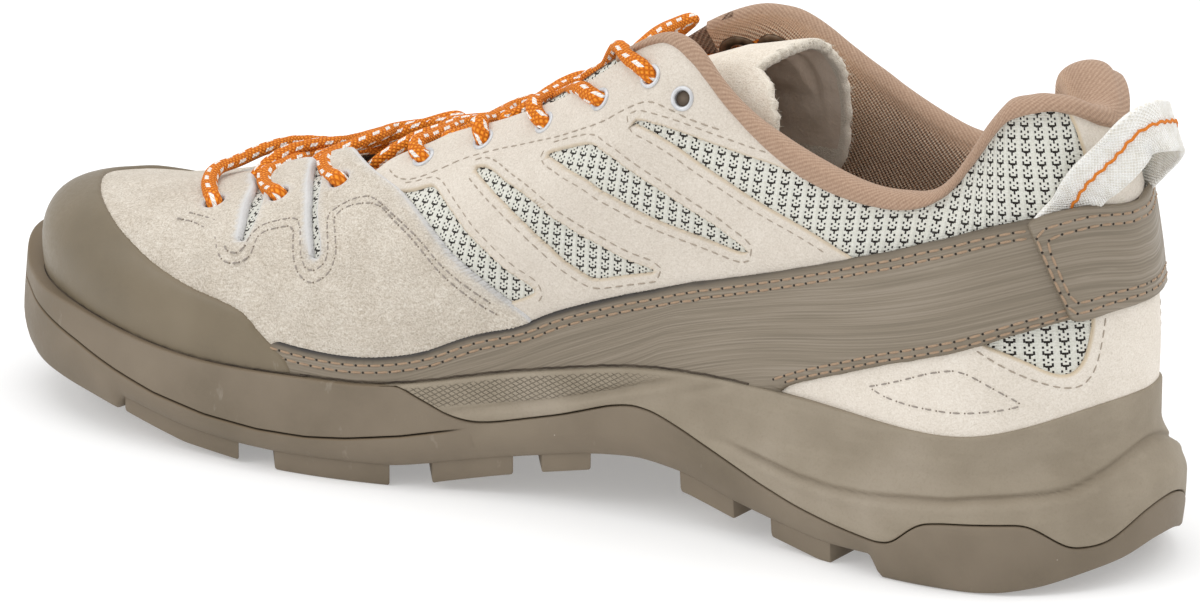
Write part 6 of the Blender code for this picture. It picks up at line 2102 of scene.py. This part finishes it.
def make_stitches():
    grey, on_quarter, on_band, holes, marks = Heap(), Heap(), Heap(), Heap(), Heap()
    for sign in (1.0, -1.0):
        def side(line):
            p = np.asarray(line, float).copy()
            p[:, 0] *= sign
            return p
        for row in TAB_ROWS:
            stitch_row(side(row), VAMP_TOP - 0.12, grey, marks, 1.6, 2.75, 0.23, 0.24, smooth_rounds=1)
        stitch_row(side(EYESTAY_ROW), 0.22, on_quarter, None, 2.15, 2.9, 0.20, 0.17)
        for w in (W1, W2, W3):
            p = resample(chaikin(w, True), 0.8, True)
            line = shift(p, FRAME_SIGN * 2.3, True)
            if w is W1:
                keep = line[:, 0] < np.interp(line[:, 1], column(VAMP_REAR, 1)[::-1], column(VAMP_REAR, 0)[::-1]) - 0.06
                start = int(np.argmax(keep & ~np.roll(keep, 1)))
                line = np.roll(line, -start, 0)
                keep = np.roll(keep, -start)
                line = line[:int(keep.sum())]
            stitch_row(side(line), 0.22, on_quarter, None, 2.15, 2.9, 0.20, 0.17, smooth_rounds=0)
        tip = W4_LOW[2:] + W4_UP[:-1]
        p = resample(chaikin(tip, False), 0.8, False)
        a, b = shift(p, 2.3, False), shift(p, -2.3, False)
        line = a if a[:, 0].max() > b[:, 0].max() else b
        stitch_row(side(line), 0.22, on_quarter, None, 2.15, 2.9, 0.20, 0.17, smooth_rounds=0)
        stitch_row(side(ALMOND + ALMOND[:1]), 0.30, grey, marks, 1.7, 3.3, 0.20, 0.20, smooth_rounds=1)
        stitch_row(side(COUNTER_STITCH), 0.28, on_quarter, None, 2.0, 2.7, 0.20, 0.17)
        for row in (ROW_1, ROW_2, LOW_1, LOW_2):
            stitch_row(side(row), BAND_H - 0.10, on_band, holes, 2.75, 3.35, 0.30, 0.30, smooth_rounds=0)
        for row in STRAP_ROWS:
            stitch_row(side(row), lambda s, v: strap_height(s, v) - 0.10, on_band, holes, 2.75, 3.35, 0.30, 0.30, smooth_rounds=1)
    # bonding line where the upper sits down on the sole: dark glue together with painted shade of the gap between them
    bond = Heap()
    for sign in (1.0, -1.0):
        for low, high, h in ((3.42, 8.06, BAND_H + 0.08), (8.00, 11.95, 2.0)):
            s = np.linspace(low, high, 160)
            path = on_skin(sign * s, np.full(160, 0.006), np.full(160, h))
            path[:, 2] += 0.05 * np.sin(path[:, 0] * 0.9) + 0.04 * np.sin(path[:, 0] * 2.3 + 1.0)
            v, f, uv = tube(path, 0.21 if h < 2.0 else 0.17, 6)
            bond.add(v, f)
    bond.make("bond_and_gap_shade_line", BOND_AND_GAP_SHADE, "band", values=("shade",))
    grey.make("stitches_grey", THREAD_GREY, "suede")
    on_quarter.make("stitches_quarter", THREAD_SUEDE, "suede")
    on_band.make("stitches_band", THREAD_BAND, "band")
    # needle holes as dark discs of painted shade
    holes.make("needle_hole_shade_marks", NEEDLE_HOLE_SHADE, "band", values=("shade",))
    marks.make("suede_hole_shade", SUEDE_HOLE_SHADE, "suede", values=("shade",))


# ================================================================ stage
def make_stage():
    scene = bpy.context.scene
    mesh = bpy.data.meshes.new("floor")
    mesh.from_pydata([(-6, -6, 0), (6, -6, 0), (6, 6, 0), (-6, 6, 0)], [], [(0, 1, 2, 3)])
    floor = bpy.data.objects.new("floor", mesh)
    scene.collection.objects.link(floor)
    f = Finish("studio_floor", 0.9, Specular_IOR_Level=0.0, Emission_Color=(1.0, 1.0, 1.0, 1.0), Emission_Strength=0.30)
    f.colour(f.ramp(f.noise(900.0), [(0.3, (0.69, 0.69, 0.69, 1.0)), (0.7, (0.71, 0.71, 0.71, 1.0))]))
    mesh.materials.append(f.mat)
    world = bpy.data.worlds.new("studio")
    world.use_nodes = True
    world.node_tree.nodes["Background"].inputs[0].default_value = (1.0, 1.0, 1.0, 1.0)
    world.node_tree.nodes["Background"].inputs[1].default_value = 0.86
    scene.world = world

    def area(name, where, at, size, power, size_y=None):
        light = bpy.data.lights.new(name, "AREA")
        light.shape = "RECTANGLE"
        light.size, light.size_y = size, size_y or size
        light.energy = power
        obj = bpy.data.objects.new(name, light)
        obj.location = where
        obj.rotation_euler = (Vector(at) - Vector(where)).to_track_quat("-Z", "Y").to_euler()
        scene.collection.objects.link(obj)

    area("overhead", (0.1, 0.1, 1.5), (0.0, 0.0, 0.05), 1.6, 8.4)
    area("front_left", (0.9, 1.1, 0.9), (0.0, 0.0, 0.05), 0.9, 6.0)
    area("back_right", (-0.9, -0.5, 1.0), (0.0, 0.0, 0.05), 0.8, 4.0)
    psi, eps = math.radians(33.36), math.radians(17.13)
    c = Vector((-math.sin(psi) * math.cos(eps), math.cos(psi) * math.cos(eps), math.sin(eps)))
    r = Vector((-math.cos(psi), -math.sin(psi), 0.0))
    u = c.cross(r)
    look = Vector((156.26, 0.0, 37.26)) - Vector(MID.tolist())
    cam = bpy.data.cameras.new("photo_camera")
    cam.sensor_width, cam.sensor_fit, cam.lens = 36.0, "HORIZONTAL", 6924.7 * 36.0 / 1200.0
    cam.clip_start, cam.clip_end = 0.05, 50.0
    obj = bpy.data.objects.new("photo_camera", cam)
    m = Matrix((r, u, c)).transposed().to_4x4()
    m.translation = (look + c * 1614.0) * MM
    obj.matrix_world = m
    scene.collection.objects.link(obj)
    scene.camera = obj
    scene.view_settings.view_transform = "Standard"
    scene.view_settings.look = "None"


make_stage()
_, LACE_LENGTH = make_laces()
make_outsole()
make_midsole()
make_insole()
make_knit()
make_quarters()
make_heel_panels()
make_vamp()
make_cap()
make_band()
make_collar()
make_tongue()
make_loop()
make_eyelets()
make_stitches()
